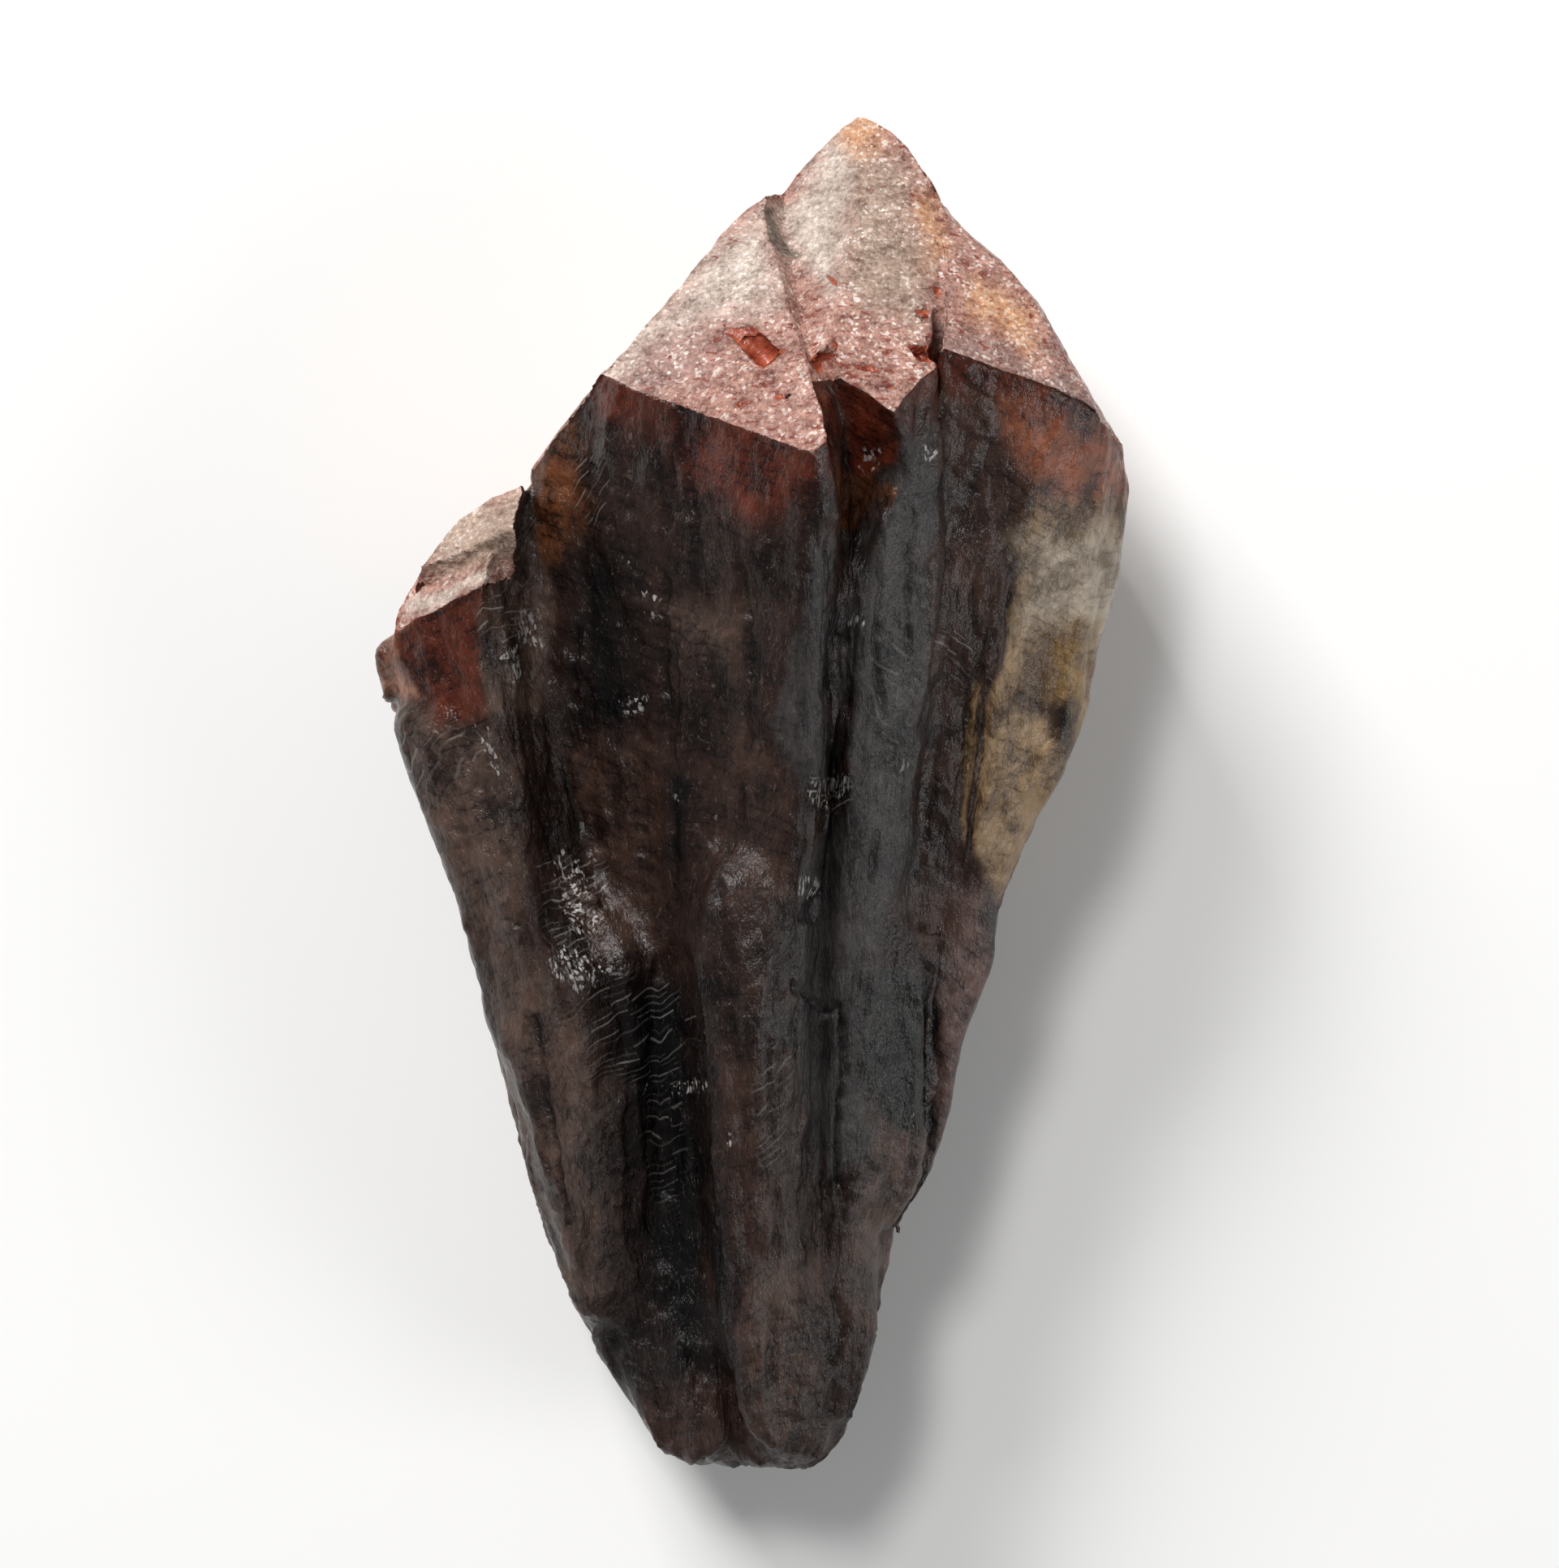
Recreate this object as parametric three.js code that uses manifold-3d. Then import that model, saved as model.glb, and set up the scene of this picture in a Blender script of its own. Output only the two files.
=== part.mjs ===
// Amethyst crystal with a red cap: a group of parallel teeth grown together, lying on its back.
// Millimetres. X runs across the crystal, +Y points to the tips of the teeth, +Z up, and z = 0 is the
// broad contact face that it rests on. The origin lies under the middle of its length and width.
import * as THREE from "three";
import { ConvexGeometry } from "three/addons/geometries/ConvexGeometry.js";
import { mergeVertices } from "three/addons/utils/BufferGeometryUtils.js";
import Module from "manifold-3d";

const wasm = await Module();
wasm.setup();

// Driving sizes
const LENGTH = 67.2; // root to tip
const TIP_Y = LENGTH / 2;
const ROOT_Y = -LENGTH / 2;
const TIP = [5.5, TIP_Y, 13.0]; // tip of the tallest tooth
const FRONT_TIP = [0.2, 29.1, 15.0]; // tip of the big front tooth
const FRONT_CORNER = [3.0, 16.4, 25.8]; // its foremost corner, the highest point as it lies
const MIDDLE_CORNER = [6.9, 18.4, 23.83]; // foremost corner of the middle tooth
const RIGHT_CORNER = [9.4, 21.6, 21.0]; // where the right tooth meets the middle one
const RIGHT_SHOULDER = [14.4, 20.0, 20.0]; // where the right tooth's cap turns down
const LEFT_CORNER = [-13.0, 10.3, 18.0]; // foremost corner of the left tooth
const LOWER_LEFT_CORNER = [-8.6, -9.0, 16.2]; // top of the lower left column
const TAPER = 0.25; // how far the front flanks sink towards the root, in mm per mm
const SAME_POINT = 1e-3; // corners closer than this are one corner
const ON_FACE = 1e-5; // slack with which a corner still lies on a face
const WIDE = 24; // past every side of the stone
const EMBED = 0.5; // how deep a small form's foot lies under the face that carries it

// Each face is one plane. A front face passes through a point and climbs by slopeX to the right and
// by slopeY towards the tip. A back face is the same, seen from below.
function front([x, y, z], slopeX, slopeY) {
  const normal = new THREE.Vector3(-slopeX, -slopeY, 1).normalize();
  return new THREE.Plane().setFromNormalAndCoplanarPoint(normal, new THREE.Vector3(x, y, z));
}

function back([x, y, z], slopeX, slopeY) {
  const normal = new THREE.Vector3(slopeX, slopeY, -1).normalize();
  return new THREE.Plane().setFromNormalAndCoplanarPoint(normal, new THREE.Vector3(x, y, z));
}

function level(z) {
  return back([0, 0, z], 0, 0);
}

// A side face runs from one point of the outline to the next, clockwise seen from the front, at
// height z. Lean is in degrees: above zero it faces up and is seen from the front, below zero down.
function side([x1, y1], [x2, y2], z, lean) {
  const tilt = THREE.MathUtils.degToRad(lean);
  const run = Math.hypot(x2 - x1, y2 - y1);
  const normal = new THREE.Vector3((y1 - y2) / run, (x2 - x1) / run, Math.tan(tilt)).normalize();
  return new THREE.Plane().setFromNormalAndCoplanarPoint(normal, new THREE.Vector3(x1, y1, z));
}

// The sides along an outline whose points are [x, y, height, lean of the side that starts there].
function sides(outline) {
  return outline.slice(1).map(([x, y], i) => {
    const [fromX, fromY, z, lean] = outline[i];
    return side([fromX, fromY], [x, y], z, lean);
  });
}

// Upright walls past every side, for a tooth that the outline of the whole stone cuts to size.
function wide() {
  return [
    side([-WIDE, -WIDE], [-WIDE, WIDE], 0, 0),
    side([WIDE, WIDE], [WIDE, -WIDE], 0, 0),
    side([-WIDE, TIP_Y + 1], [WIDE, TIP_Y + 1], 0, 0),
    side([WIDE, ROOT_Y - 1], [-WIDE, ROOT_Y - 1], 0, 0),
  ];
}

// The point where three faces meet.
function meet(a, b, c) {
  const bc = new THREE.Vector3().crossVectors(b.normal, c.normal);
  const ca = new THREE.Vector3().crossVectors(c.normal, a.normal);
  const ab = new THREE.Vector3().crossVectors(a.normal, b.normal);
  const volume = a.normal.dot(bc);
  if (Math.abs(volume) < 1e-9) return null;
  return bc
    .multiplyScalar(-a.constant)
    .addScaledVector(ca, -b.constant)
    .addScaledVector(ab, -c.constant)
    .divideScalar(volume);
}

// The smallest solid without hollows that holds all the points.
function hull(points) {
  const bare = new ConvexGeometry(points);
  bare.deleteAttribute("normal");
  bare.deleteAttribute("uv");
  const merged = mergeVertices(bare, SAME_POINT / 10);
  return new wasm.Manifold(
    new wasm.Mesh({
      numProp: 3,
      vertProperties: merged.attributes.position.array,
      triVerts: new Uint32Array(merged.index.array),
    }),
  );
}

// One tooth or column: the space behind all its faces. Its corners are where three faces meet.
function crystal(faces) {
  const corners = [];
  for (let i = 0; i < faces.length; i++) {
    for (let j = i + 1; j < faces.length; j++) {
      for (let k = j + 1; k < faces.length; k++) {
        const corner = meet(faces[i], faces[j], faces[k]);
        if (!corner) continue;
        if (!faces.every((face) => face.distanceToPoint(corner) < ON_FACE)) continue;
        if (corners.every((other) => other.distanceTo(corner) > SAME_POINT)) corners.push(corner);
      }
    }
  }
  return hull(corners);
}

// The point of a face straight above or below (x, y), moved out from the face by rise.
function on(face, [x, y], rise) {
  const { normal, constant } = face;
  const z = -(normal.x * x + normal.y * y + constant) / normal.z;
  return new THREE.Vector3(x, y, z).addScaledVector(normal, rise);
}

// A low roof-shaped ridge on a face, from one end to the other, or a groove where rise is below zero.
function rib(face, from, to, width, rise) {
  const run = Math.hypot(to[0] - from[0], to[1] - from[1]);
  const along = [(to[0] - from[0]) / run, (to[1] - from[1]) / run];
  const across = [(-along[1] * width) / 2, (along[0] * width) / 2];
  const footRise = rise > 0 ? -EMBED : EMBED;
  const foot = [from, to].flatMap((end) =>
    [1, -1].map((hand) => on(face, [end[0] + hand * across[0], end[1] + hand * across[1]], footRise)),
  );
  const inset = Math.min(width, run / 3);
  const crest = [
    on(face, [from[0] + along[0] * inset, from[1] + along[1] * inset], rise),
    on(face, [to[0] - along[0] * inset, to[1] - along[1] * inset], rise),
  ];
  return hull([...foot, ...crest]);
}

// A wedge that rises from its upper edge and ends in a step at its lower edge, like a roof tile.
function ledge(face, [upperLeft, upperRight, lowerRight, lowerLeft], rise) {
  const corners = [upperLeft, upperRight, lowerRight, lowerLeft];
  const foot = corners.map((corner) => on(face, corner, -EMBED));
  return hull([...foot, on(face, lowerRight, rise), on(face, lowerLeft, rise)]);
}

// A pit in a face: its rim, and the one point of its floor. What is cut away reaches past the face.
function pit(face, rim, floor, depth) {
  return hull([...rim.map((corner) => on(face, corner, EMBED)), on(face, floor, -depth)]);
}

// The faces that carry small forms
const FRONT_CAP = front(FRONT_TIP, 0.378, -0.763);
const FRONT_LEFT_FLANK = front(FRONT_CORNER, 0.77, TAPER);
const TALL_CAP = front(TIP, -0.2, -0.731);
const TALL_LEFT_CAP = front(TIP, 0.915, -0.859);
const TALL_RIGHT_CAP = front([10.6, 28.0, 15.2], -0.6, -0.72);
const GREY_FLANK = front([6.6, 18.8, 23.0], -0.6, TAPER);
const RIGHT_FLANK = front(RIGHT_SHOULDER, -0.6, 0.3);
const RIGHT_EDGE_FLANK = front([16.5, 12.0, 16.3], -1.6, 0.36);
const LEFT_OUTER_FLANK = front(LEFT_CORNER, 0.6, 0.2);
const LEFT_INNER_FLANK = front(LEFT_CORNER, -1.9, -0.17);
const LOWER_OUTER_FLANK = front(LOWER_LEFT_CORNER, 0.75, 0.24);
const LOWER_LEFT_TOP = front(LOWER_LEFT_CORNER, -0.3, -0.6);
const LOWER_COLUMN_FLANK = front([-1.2, -8.0, 19.6], 0.5, 0.24);
const REST = level(0);
const UNDER_LEFT = back([-8.0, 4.0, 0], -0.5, 0.05);
const UNDER_RIGHT = back([9.0, 4.0, 0], 0.55, -0.08);
const UNDER_CAP = back([4.0, 17.5, 0], 0.3, 0.75);
const UNDER_LEFT_CAP = back([-3.0, 16.5, 0], -0.5, 0.66);

// The outline of the whole stone without its left tooth, clockwise from the root's left end: x, y,
// the height of the outline there, and the lean of the side that starts there.
const OUTLINE = [
  [-5.4, -31.8, 9, -4],
  [-9.4, -24.6, 9, -6],
  [-12.6, -13.6, 9, -6],
  [-13.8, -3.2, 10, -6],
  [-13.2, 8.0, 12, -9],
  [-11.75, 15.0, 15, -9],
  [-0.5, 28.85, 14, -12],
  [4.9, TIP_Y, 13, 0],
  [5.9, TIP_Y, 13, 0],
  [7.5, 32.5, 14, -10],
  [14.1, 24.6, 16, -8],
  [16.6, 20.4, 16, -7],
  [18.3, 17.3, 14.5, -6],
  [18.75, 15.2, 14.5, -8],
  [18.3, 10.4, 13, -10],
  [14.5, -1.0, 12, -10],
  [9.7, -15.6, 11, -8],
  [6.7, -24.4, 9, -6],
  [4.4, -31.0, 9, -4],
  [3.2, ROOT_Y + 0.2, 9, 0],
  [2.2, ROOT_Y, 9, 0],
  [-2.8, ROOT_Y, 9, 0],
  [-4.4, ROOT_Y + 0.4, 9, 0],
  [-5.4, -31.8, 9, -4],
];

// The space that holds the teeth: the outline's sides, and the faces of the underside.
function envelope() {
  return crystal([
    ...sides(OUTLINE),
    front([0, 0, WIDE + 6], 0, 0),
    REST,
    UNDER_LEFT,
    UNDER_RIGHT,
    UNDER_LEFT_CAP,
    UNDER_CAP,
    back([0, -21.0, 0], 0.1, -0.34),
  ]);
}

// The tallest tooth runs the whole length behind the others and carries them.
function trunk() {
  return crystal([
    TALL_CAP,
    TALL_LEFT_CAP,
    TALL_RIGHT_CAP,
    side([7.5, 32.5], [11.4, 27.0], 13, 3),
    front([3.0, 16.0, 22.2], 0.7, 0.22),
    front([8.0, 16.0, 18.1], -0.5, 0.2),
    front([0, -31.0, 12.4], 0.05, 1.1),
    ...wide(),
    level(-1),
  ]);
}

// The front tooth: a big smooth face, a left flank and a narrow right flank that meet in an edge.
function frontTooth() {
  return crystal([
    FRONT_CAP,
    FRONT_LEFT_FLANK,
    front(FRONT_CORNER, -0.417, TAPER),
    ...sides([
      [0.1, 29.2, 15.5, 24],
      [2.4, 26.2, 18.5, 22],
      [3.8, 23.4, 21, 10],
      [4.5, 17.2, 20, 5],
      [4.6, 6.0, 18, 6],
      [2.6, -14.0, 14, 8],
      [0.6, -30.0],
    ]),
    ...wide(),
    level(-1),
  ]);
}

// The middle tooth carries on the tallest tooth's cap, and has a glossy red corner that looks left and
// down, and a narrow flank that looks right.
function middleTooth() {
  return crystal([
    TALL_CAP,
    TALL_LEFT_CAP,
    TALL_RIGHT_CAP,
    front(MIDDLE_CORNER, 0.9, 0.9),
    front(MIDDLE_CORNER, -1.4, TAPER),
    ...sides([
      [3.6, 2.0, 14, 3],
      [3.6, 27.0, 14, 3],
      [9.2, 27.0, 14, 3],
      [9.4, 2.0, 14, 3],
      [3.6, 2.0],
    ]),
    level(4),
  ]);
}

// The grey column begins below the middle tooth's flank, and reaches further left the lower it gets.
function greyColumn() {
  return crystal([
    GREY_FLANK,
    front([7.2, 16.6, 22.1], 0.1, -0.9),
    ...sides([
      [7.6, 18.4, 20, 8],
      [9.4, 18.4, 18, 5],
      [9.4, 4.0, 16, 5],
      [6.6, -16.0, 13, 5],
      [4.6, -31.0, 12, 20],
      [2.8, -31.0, 14, 3],
      [4.3, 10.0, 20, 20],
      [7.6, 18.4],
    ]),
    level(5),
  ]);
}

// The right tooth: its cap falls to the right in two faces, and its flanks turn with it.
function rightTooth() {
  return crystal([
    front(RIGHT_CORNER, -0.5, -0.8),
    front(RIGHT_SHOULDER, -1.2, -0.9),
    front(RIGHT_CORNER, -0.15, TAPER),
    RIGHT_FLANK,
    RIGHT_EDGE_FLANK,
    ...sides([
      [3.4, -32.4, 14, 3],
      [9.6, 28.8, 16, 8],
      [10.6, 28.1, 15, 8],
      [12.6, 26.3, 15, 6],
      [WIDE, 8.0],
    ]),
    ...wide(),
    level(-1),
  ]);
}

// The long column of the lower half, which ends in the right lobe of the root.
function lowerColumn() {
  return crystal([
    front([1.5, -8.0, 19.7], -0.35, 0.26),
    LOWER_COLUMN_FLANK,
    front([0.5, -5.2, 19.5], -0.1, 0.0),
    ...sides([
      [-3.2, -8.0, 16, 4],
      [-2.0, -2.0, 16, 20],
      [3.4, -2.0, 14, 5],
      [3.4, -25.0, 10, 6],
      [3.2, ROOT_Y, 9, 10],
      [0.9, ROOT_Y, 9, 6],
      [-0.4, -31.6, 10, 6],
      [-1.4, -28.0, 14, 5],
      [-3.2, -8.0],
    ]),
    level(1),
  ]);
}

// The left half of the lower stone stands out below the ledges.
function lowerLeftColumn() {
  return crystal([
    LOWER_OUTER_FLANK,
    front(LOWER_LEFT_CORNER, -0.55, 0.2),
    LOWER_LEFT_TOP,
    ...sides([
      [-8.4, -27.4, 8, 4],
      [-11.0, -19.4, 8, 4],
      [-13.0, -9.0, 9, 4],
      [-12.0, -1.6, 9, 10],
      [-4.0, -1.6, 10, 8],
      [-4.6, -28.0, 8, 20],
      [-8.4, -27.4],
    ]),
    level(0.5),
  ]);
}

function leftLobe() {
  return crystal([
    front([-3.0, -27.0, 11.6], 0.3, 0.05),
    front([-6.0, -27.0, 10.9], 0.9, 0.1),
    ...sides([
      [-12.0, -20.0, 8, 20],
      [-8.0, -18.0, 8, 30],
      [-2.0, -18.0, 8, 4],
      [-0.8, -32.4, 8, 6],
      [-1.8, ROOT_Y, 8, 8],
      [-4.6, ROOT_Y, 8, 8],
      [-12.0, -20.0],
    ]),
    level(1),
  ]);
}

// The left tooth: its cap falls away to the left, over a column that leans in towards the root.
function leftTooth() {
  return crystal([
    front(LEFT_CORNER, 1.07, -0.75),
    LEFT_OUTER_FLANK,
    LEFT_INNER_FLANK,
    ...sides([
      [-18.2, 4.4, 14, -6],
      [-17.5, 8.4, 14, -8],
      [-16.3, 11.0, 14, -8],
      [-15.0, 12.6, 14, 14],
      [-11.0, 12.6, 10, 0],
      [-6.0, -16.0, 8, 8],
      [-8.4, -26.6, 8, 4],
      [-11.4, -18.4, 8, 0],
      [-13.9, -8.4, 9, 0],
      [-17.5, 1.8, 11, 0],
      [-18.2, 4.4],
    ]),
    back([-12.0, 0, 0.6], -0.62, 0.05),
    back([-13.0, 9.0, 1.6], -0.5, 0.7),
    level(0.6),
  ]);
}

// A smaller tooth above the left one, against the front tooth's side.
function upperLeftTooth() {
  return crystal([
    front([-13.4, 12.6, 16.6], 0.7, -0.72),
    front([-13.4, 12.2, 16.8], 0.1, 0.8),
    ...sides([
      [-16.4, 10.6, 14, -8],
      [-14.6, 13.5, 14, -8],
      [-12.8, 14.8, 15, -8],
      [-11.3, 15.3, 15, 5],
      [-11.2, 9.0, 13, 20],
      [-16.4, 9.0, 13, 4],
      [-16.4, 10.6],
    ]),
    back([-13.0, 13.0, 4.0], -0.5, 0.7),
    level(4),
  ]);
}

function redBump() {
  return crystal([
    front([-18.0, 6.9, 13.4], 0.3, -0.5),
    front([-18.0, 6.9, 13.4], 0.2, 0.6),
    ...sides([
      [-18.75, 6.0, 11, 0],
      [-18.72, 7.3, 11, 0],
      [-18.3, 7.95, 11, 0],
      [-17.0, 8.2, 11, 8],
      [-16.6, 5.0, 11, 10],
      [-18.2, 4.6, 11, 0],
      [-18.75, 6.0],
    ]),
    back([-17.5, 6.0, 7.0], -0.4, 0.3),
  ]);
}

// Growth ridges along the flanks: face, upper end, lower end, width and rise.
const RIBS = [
  [FRONT_LEFT_FLANK, [-2.8, 9.5], [-3.6, -6.0], 2.2, 0.4],
  [FRONT_LEFT_FLANK, [-6.4, 4.0], [-5.6, -4.5], 1.7, 0.35],
  [FRONT_LEFT_FLANK, [0.4, 8.5], [0.2, -1.0], 1.8, 0.35],
  [FRONT_LEFT_FLANK, [-9.2, 10.0], [-8.6, 3.0], 1.6, 0.3],
  [GREY_FLANK, [8.2, 11.0], [7.2, -5.0], 1.2, 0.3],
  [RIGHT_FLANK, [13.2, 12.5], [11.0, -4.0], 2.2, 0.3],
  [RIGHT_FLANK, [9.0, -6.0], [6.4, -22.0], 2.2, 0.4],
  [LEFT_OUTER_FLANK, [-15.4, 5.0], [-14.2, -5.0], 1.8, 0.4],
  [LOWER_OUTER_FLANK, [-10.6, -11.0], [-8.8, -22.0], 1.8, 0.4],
  [LOWER_COLUMN_FLANK, [-1.9, -11.0], [-1.2, -24.0], 1.1, 0.4],
  [UNDER_LEFT, [-10.5, 9.0], [-8.8, -15.0], 2.2, 0.9],
  [UNDER_LEFT, [-8.4, 7.0], [-7.0, -12.0], 1.4, 0.5],
  [UNDER_RIGHT, [13.0, 11.0], [9.2, -6.0], 2.4, 1.0],
  [UNDER_RIGHT, [10.6, 12.5], [7.6, -10.0], 1.5, 0.5],
  [UNDER_CAP, [7.4, 27.0], [8.6, 19.5], 1.8, 0.6],
];

// Grooves between the columns of the underside: face, two ends, width and depth.
const GROOVES = [
  [REST, [-1.2, 15.0], [-2.6, -20.0], 1.3, 0.9],
  [REST, [3.6, 12.0], [2.2, -18.0], 0.9, 0.6],
  [REST, [-5.6, 8.0], [-5.2, -12.0], 0.8, 0.5],
  [UNDER_CAP, [2.2, 27.5], [0.6, 18.0], 1.0, 0.6],
];

// The red pits in the caps: face, rim, deepest point and depth.
const PITS = [
  [FRONT_CAP, [[-1.44, 22.7], [0.36, 22.84], [1.48, 21.68], [0.6, 20.7]], [0.5, 21.7], 1.1],
  [FRONT_CAP, [[2.6, 21.4], [3.9, 20.9], [3.7, 20.1]], [3.3, 20.8], 0.7],
  [FRONT_CAP, [[1.4, 19.5], [2.2, 19.4], [1.7, 18.9]], [1.8, 19.2], 0.4],
  [TALL_CAP, [[8.0, 23.7], [8.8, 23.5], [8.5, 22.8]], [8.4, 23.3], 0.6],
  [TALL_CAP, [[7.5, 21.9], [8.8, 21.7], [8.6, 21.0]], [8.3, 21.5], 0.6],
  [TALL_CAP, [[5.0, 20.95], [6.4, 20.65], [5.4, 20.4]], [5.7, 20.7], 0.4],
];

// Ledges where growth stopped and went on: face, its four corners from the upper left, and rise.
const LEDGES = [
  [LEFT_INNER_FLANK, [[-12.3, 9.0], [-11.0, 9.4], [-10.9, 7.0], [-12.1, 6.6]], 0.3],
  [LOWER_LEFT_TOP, [[-11.6, -3.6], [-7.6, -2.6], [-7.4, -5.4], [-11.6, -6.6]], 0.4],
  [FRONT_LEFT_FLANK, [[-7.4, -4.0], [-3.6, -3.0], [-3.4, -6.8], [-7.0, -7.8]], 0.4],
];

function amethyst() {
  const teeth = [
    trunk(),
    frontTooth(),
    middleTooth(),
    greyColumn(),
    rightTooth(),
    lowerColumn(),
    lowerLeftColumn(),
    leftLobe(),
  ];
  const main = teeth.reduce((whole, tooth) => whole.add(tooth)).intersect(envelope());
  const grown = [
    leftTooth(),
    upperLeftTooth(),
    redBump(),
    ...RIBS.map((values) => rib(...values)),
    ...LEDGES.map((values) => ledge(...values)),
  ];
  const cut = [
    ...PITS.map((values) => pit(...values)),
    ...GROOVES.map(([face, from, to, width, depth]) => rib(face, from, to, width, -depth)),
  ];
  const joined = grown.reduce((whole, form) => whole.add(form), main);
  const aboveRest = crystal([...wide(), front([0, 0, WIDE + 6], 0, 0), REST]);
  return cut.reduce((whole, form) => whole.subtract(form), joined.intersect(aboveRest));
}

function meshOf(solid, name, material) {
  const { vertProperties, numProp, numVert, triVerts } = solid.getMesh();
  const positions = new Float32Array(numVert * 3);
  for (let i = 0; i < numVert; i++) {
    positions.set(vertProperties.subarray(i * numProp, i * numProp + 3), i * 3);
  }
  const geometry = new THREE.BufferGeometry();
  geometry.setAttribute("position", new THREE.BufferAttribute(positions, 3));
  geometry.setIndex(new THREE.BufferAttribute(triVerts, 1));
  geometry.computeVertexNormals();
  const mesh = new THREE.Mesh(geometry, material);
  mesh.name = name;
  return mesh;
}

const amethystStone = new THREE.MeshStandardMaterial({ color: 0x4a3a3c, roughness: 0.4, metalness: 0 });

const group = new THREE.Group();
group.add(meshOf(amethyst(), "crystal", amethystStone));

export default group;
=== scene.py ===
# Amethyst crystal with a red cap, lying on its back and seen from straight above.
# The stone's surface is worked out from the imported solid: its flat faces are cut into small triangles
# and carry ridges, growth steps and pits. Lengths in this file are millimetres unless a name says other.
import math

import bpy
import numpy as np
from mathutils.geometry import delaunay_2d_cdt
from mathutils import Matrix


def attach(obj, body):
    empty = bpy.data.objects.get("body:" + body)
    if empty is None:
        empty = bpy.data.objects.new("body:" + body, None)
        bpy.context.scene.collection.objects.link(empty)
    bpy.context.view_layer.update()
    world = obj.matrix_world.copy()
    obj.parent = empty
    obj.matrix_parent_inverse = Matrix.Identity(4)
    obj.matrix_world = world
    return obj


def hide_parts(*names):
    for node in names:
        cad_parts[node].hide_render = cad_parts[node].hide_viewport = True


MM = 0.001

# The photograph's frame, and how it lies over the stone
FRAME_PIXELS = (1921, 1932)
PIXELS_PER_MM = 25.0
FRAME_MIDDLE = (1.42, 0.56)  # the point of the stone's length and width under the middle of the frame
SHARP_HEIGHT = 14.0  # height above the floor at which the scale holds, that of the outline
CAMERA_DISTANCE = 350.0
SENSOR = 36.0

# How far apart the points lie on a flat face that is seen from above, and on one that isn't
FRONT_STEP = 0.2
REAR_STEP = 0.42
FRONT_FACING = 0.05  # the least upward part of the normal of a face that counts as seen from above
NEAR_RIM = 0.55  # a point inside a face keeps this share of a step from its rim
FLAT_ANGLE = 0.2  # degrees; triangles that meet at less are one flat face
THIN = 0.004  # a triangle less high than this has no sure normal
NO_AREA = 1e-9  # a triangle smaller than this is three points on one line
FAR = 9.0  # stands for any distance past which nothing is felt

# The stone's outline from above on each side, from the root to the tip: length along the stone, and
# distance across. The surface is moved sideways to it near the rim.
OUTLINE = {
    1: [(-33.6, 2.6), (-33.4, 3.4), (-32.0, 4.6), (-30.0, 5.4), (-27.2, 6.2), (-24.4, 6.6), (-21.3, 7.4)]
    + [(-18.9, 8.9), (-16.3, 9.8), (-12.0, 10.6), (-8.3, 12.1), (-5.6, 12.3), (-1.3, 14.1), (0.8, 15.4)]
    + [(4.0, 16.6), (7.2, 17.2), (10.4, 18.2), (15.2, 18.7), (17.2, 18.3), (21.6, 15.8), (24.4, 14.2)]
    + [(26.2, 12.6), (27.2, 11.6), (28.0, 10.6), (32.6, 7.4), (33.6, 5.4)],
    -1: [(-33.5, -2.6), (-33.1, -4.2), (-31.6, -5.4), (-28.4, -7.4), (-26.0, -8.8), (-23.6, -9.8)]
    + [(-20.8, -10.6), (-18.4, -11.4), (-12.4, -13.0), (-8.8, -13.8), (-5.2, -14.8), (-0.4, -16.6)]
    + [(4.4, -18.2), (7.2, -18.7), (8.1, -17.7), (9.6, -17.2), (12.4, -15.4), (13.4, -14.6), (14.4, -13.4)]
    + [(15.0, -11.7), (18.0, -9.4), (23.2, -5.0), (28.7, -0.6), (29.2, 0.6), (32.9, 4.2), (33.6, 5.2)],
}
OUTLINE_STEP = 0.5  # how finely the outline is compared along the stone
OUTLINE_MOVES = (-0.6, 1.3)  # how far the rim may move in and out
OUTLINE_WIDTH = 4.5  # how far from the rim the surface moves with it
OUTLINE_SLACK = 0.15  # how far a bump may stand out past the outline

# The columns run together towards a point beyond the root
FAN_POINT = (-1.0, -62.0)
FAN_MIDDLE_HEIGHT = 8.0

# The teeth from the left: the normal of their growth layers, and points on the border to the tooth before
LAYERS = [
    ("left tooth", (-1.07, 0.75, 1.0), None),
    ("front tooth", (-0.378, 0.763, 1.0), [(-6.0, -31.0), (-11.9, 15.0)]),
    ("middle tooth", (0.2, 0.76, 1.0), [(0.9, -31.0), (4.6, 15.0), (3.8, 20.0), (2.3, 26.0), (0.4, 29.2)]),
    ("right tooth", (1.2, 0.9, 1.0), [(4.0, -31.0), (9.2, 15.0), (9.2, 21.5), (10.4, 28.0)]),
]
# The cap faces: the number of their tooth, a point of each, its climb to the right and to the tip
CAPS = [
    (0, (-13.0, 10.3, 18.0), 1.07, -0.75),
    (0, (-13.4, 12.6, 16.6), 0.7, -0.72),
    (1, (0.2, 29.1, 15.0), 0.378, -0.763),
    (2, (5.5, 33.6, 13.0), -0.2, -0.731),
    (2, (5.5, 33.6, 13.0), 0.915, -0.859),
    (2, (10.6, 28.0, 15.2), -0.6, -0.72),
    (3, (9.4, 21.6, 21.0), -0.5, -0.8),
    (3, (14.4, 20.0, 20.0), -1.2, -0.9),
]
CAP_ALIKE = 0.995  # least agreement of a face's normal with that of its cap
CAP_SUNK = 0.6  # deepest that a part of a cap face lies under its plane
RUST_REACH = (2.0, 2.4, 2.0, 1.8)  # how deep the red inclusions reach under the caps of each tooth

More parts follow.
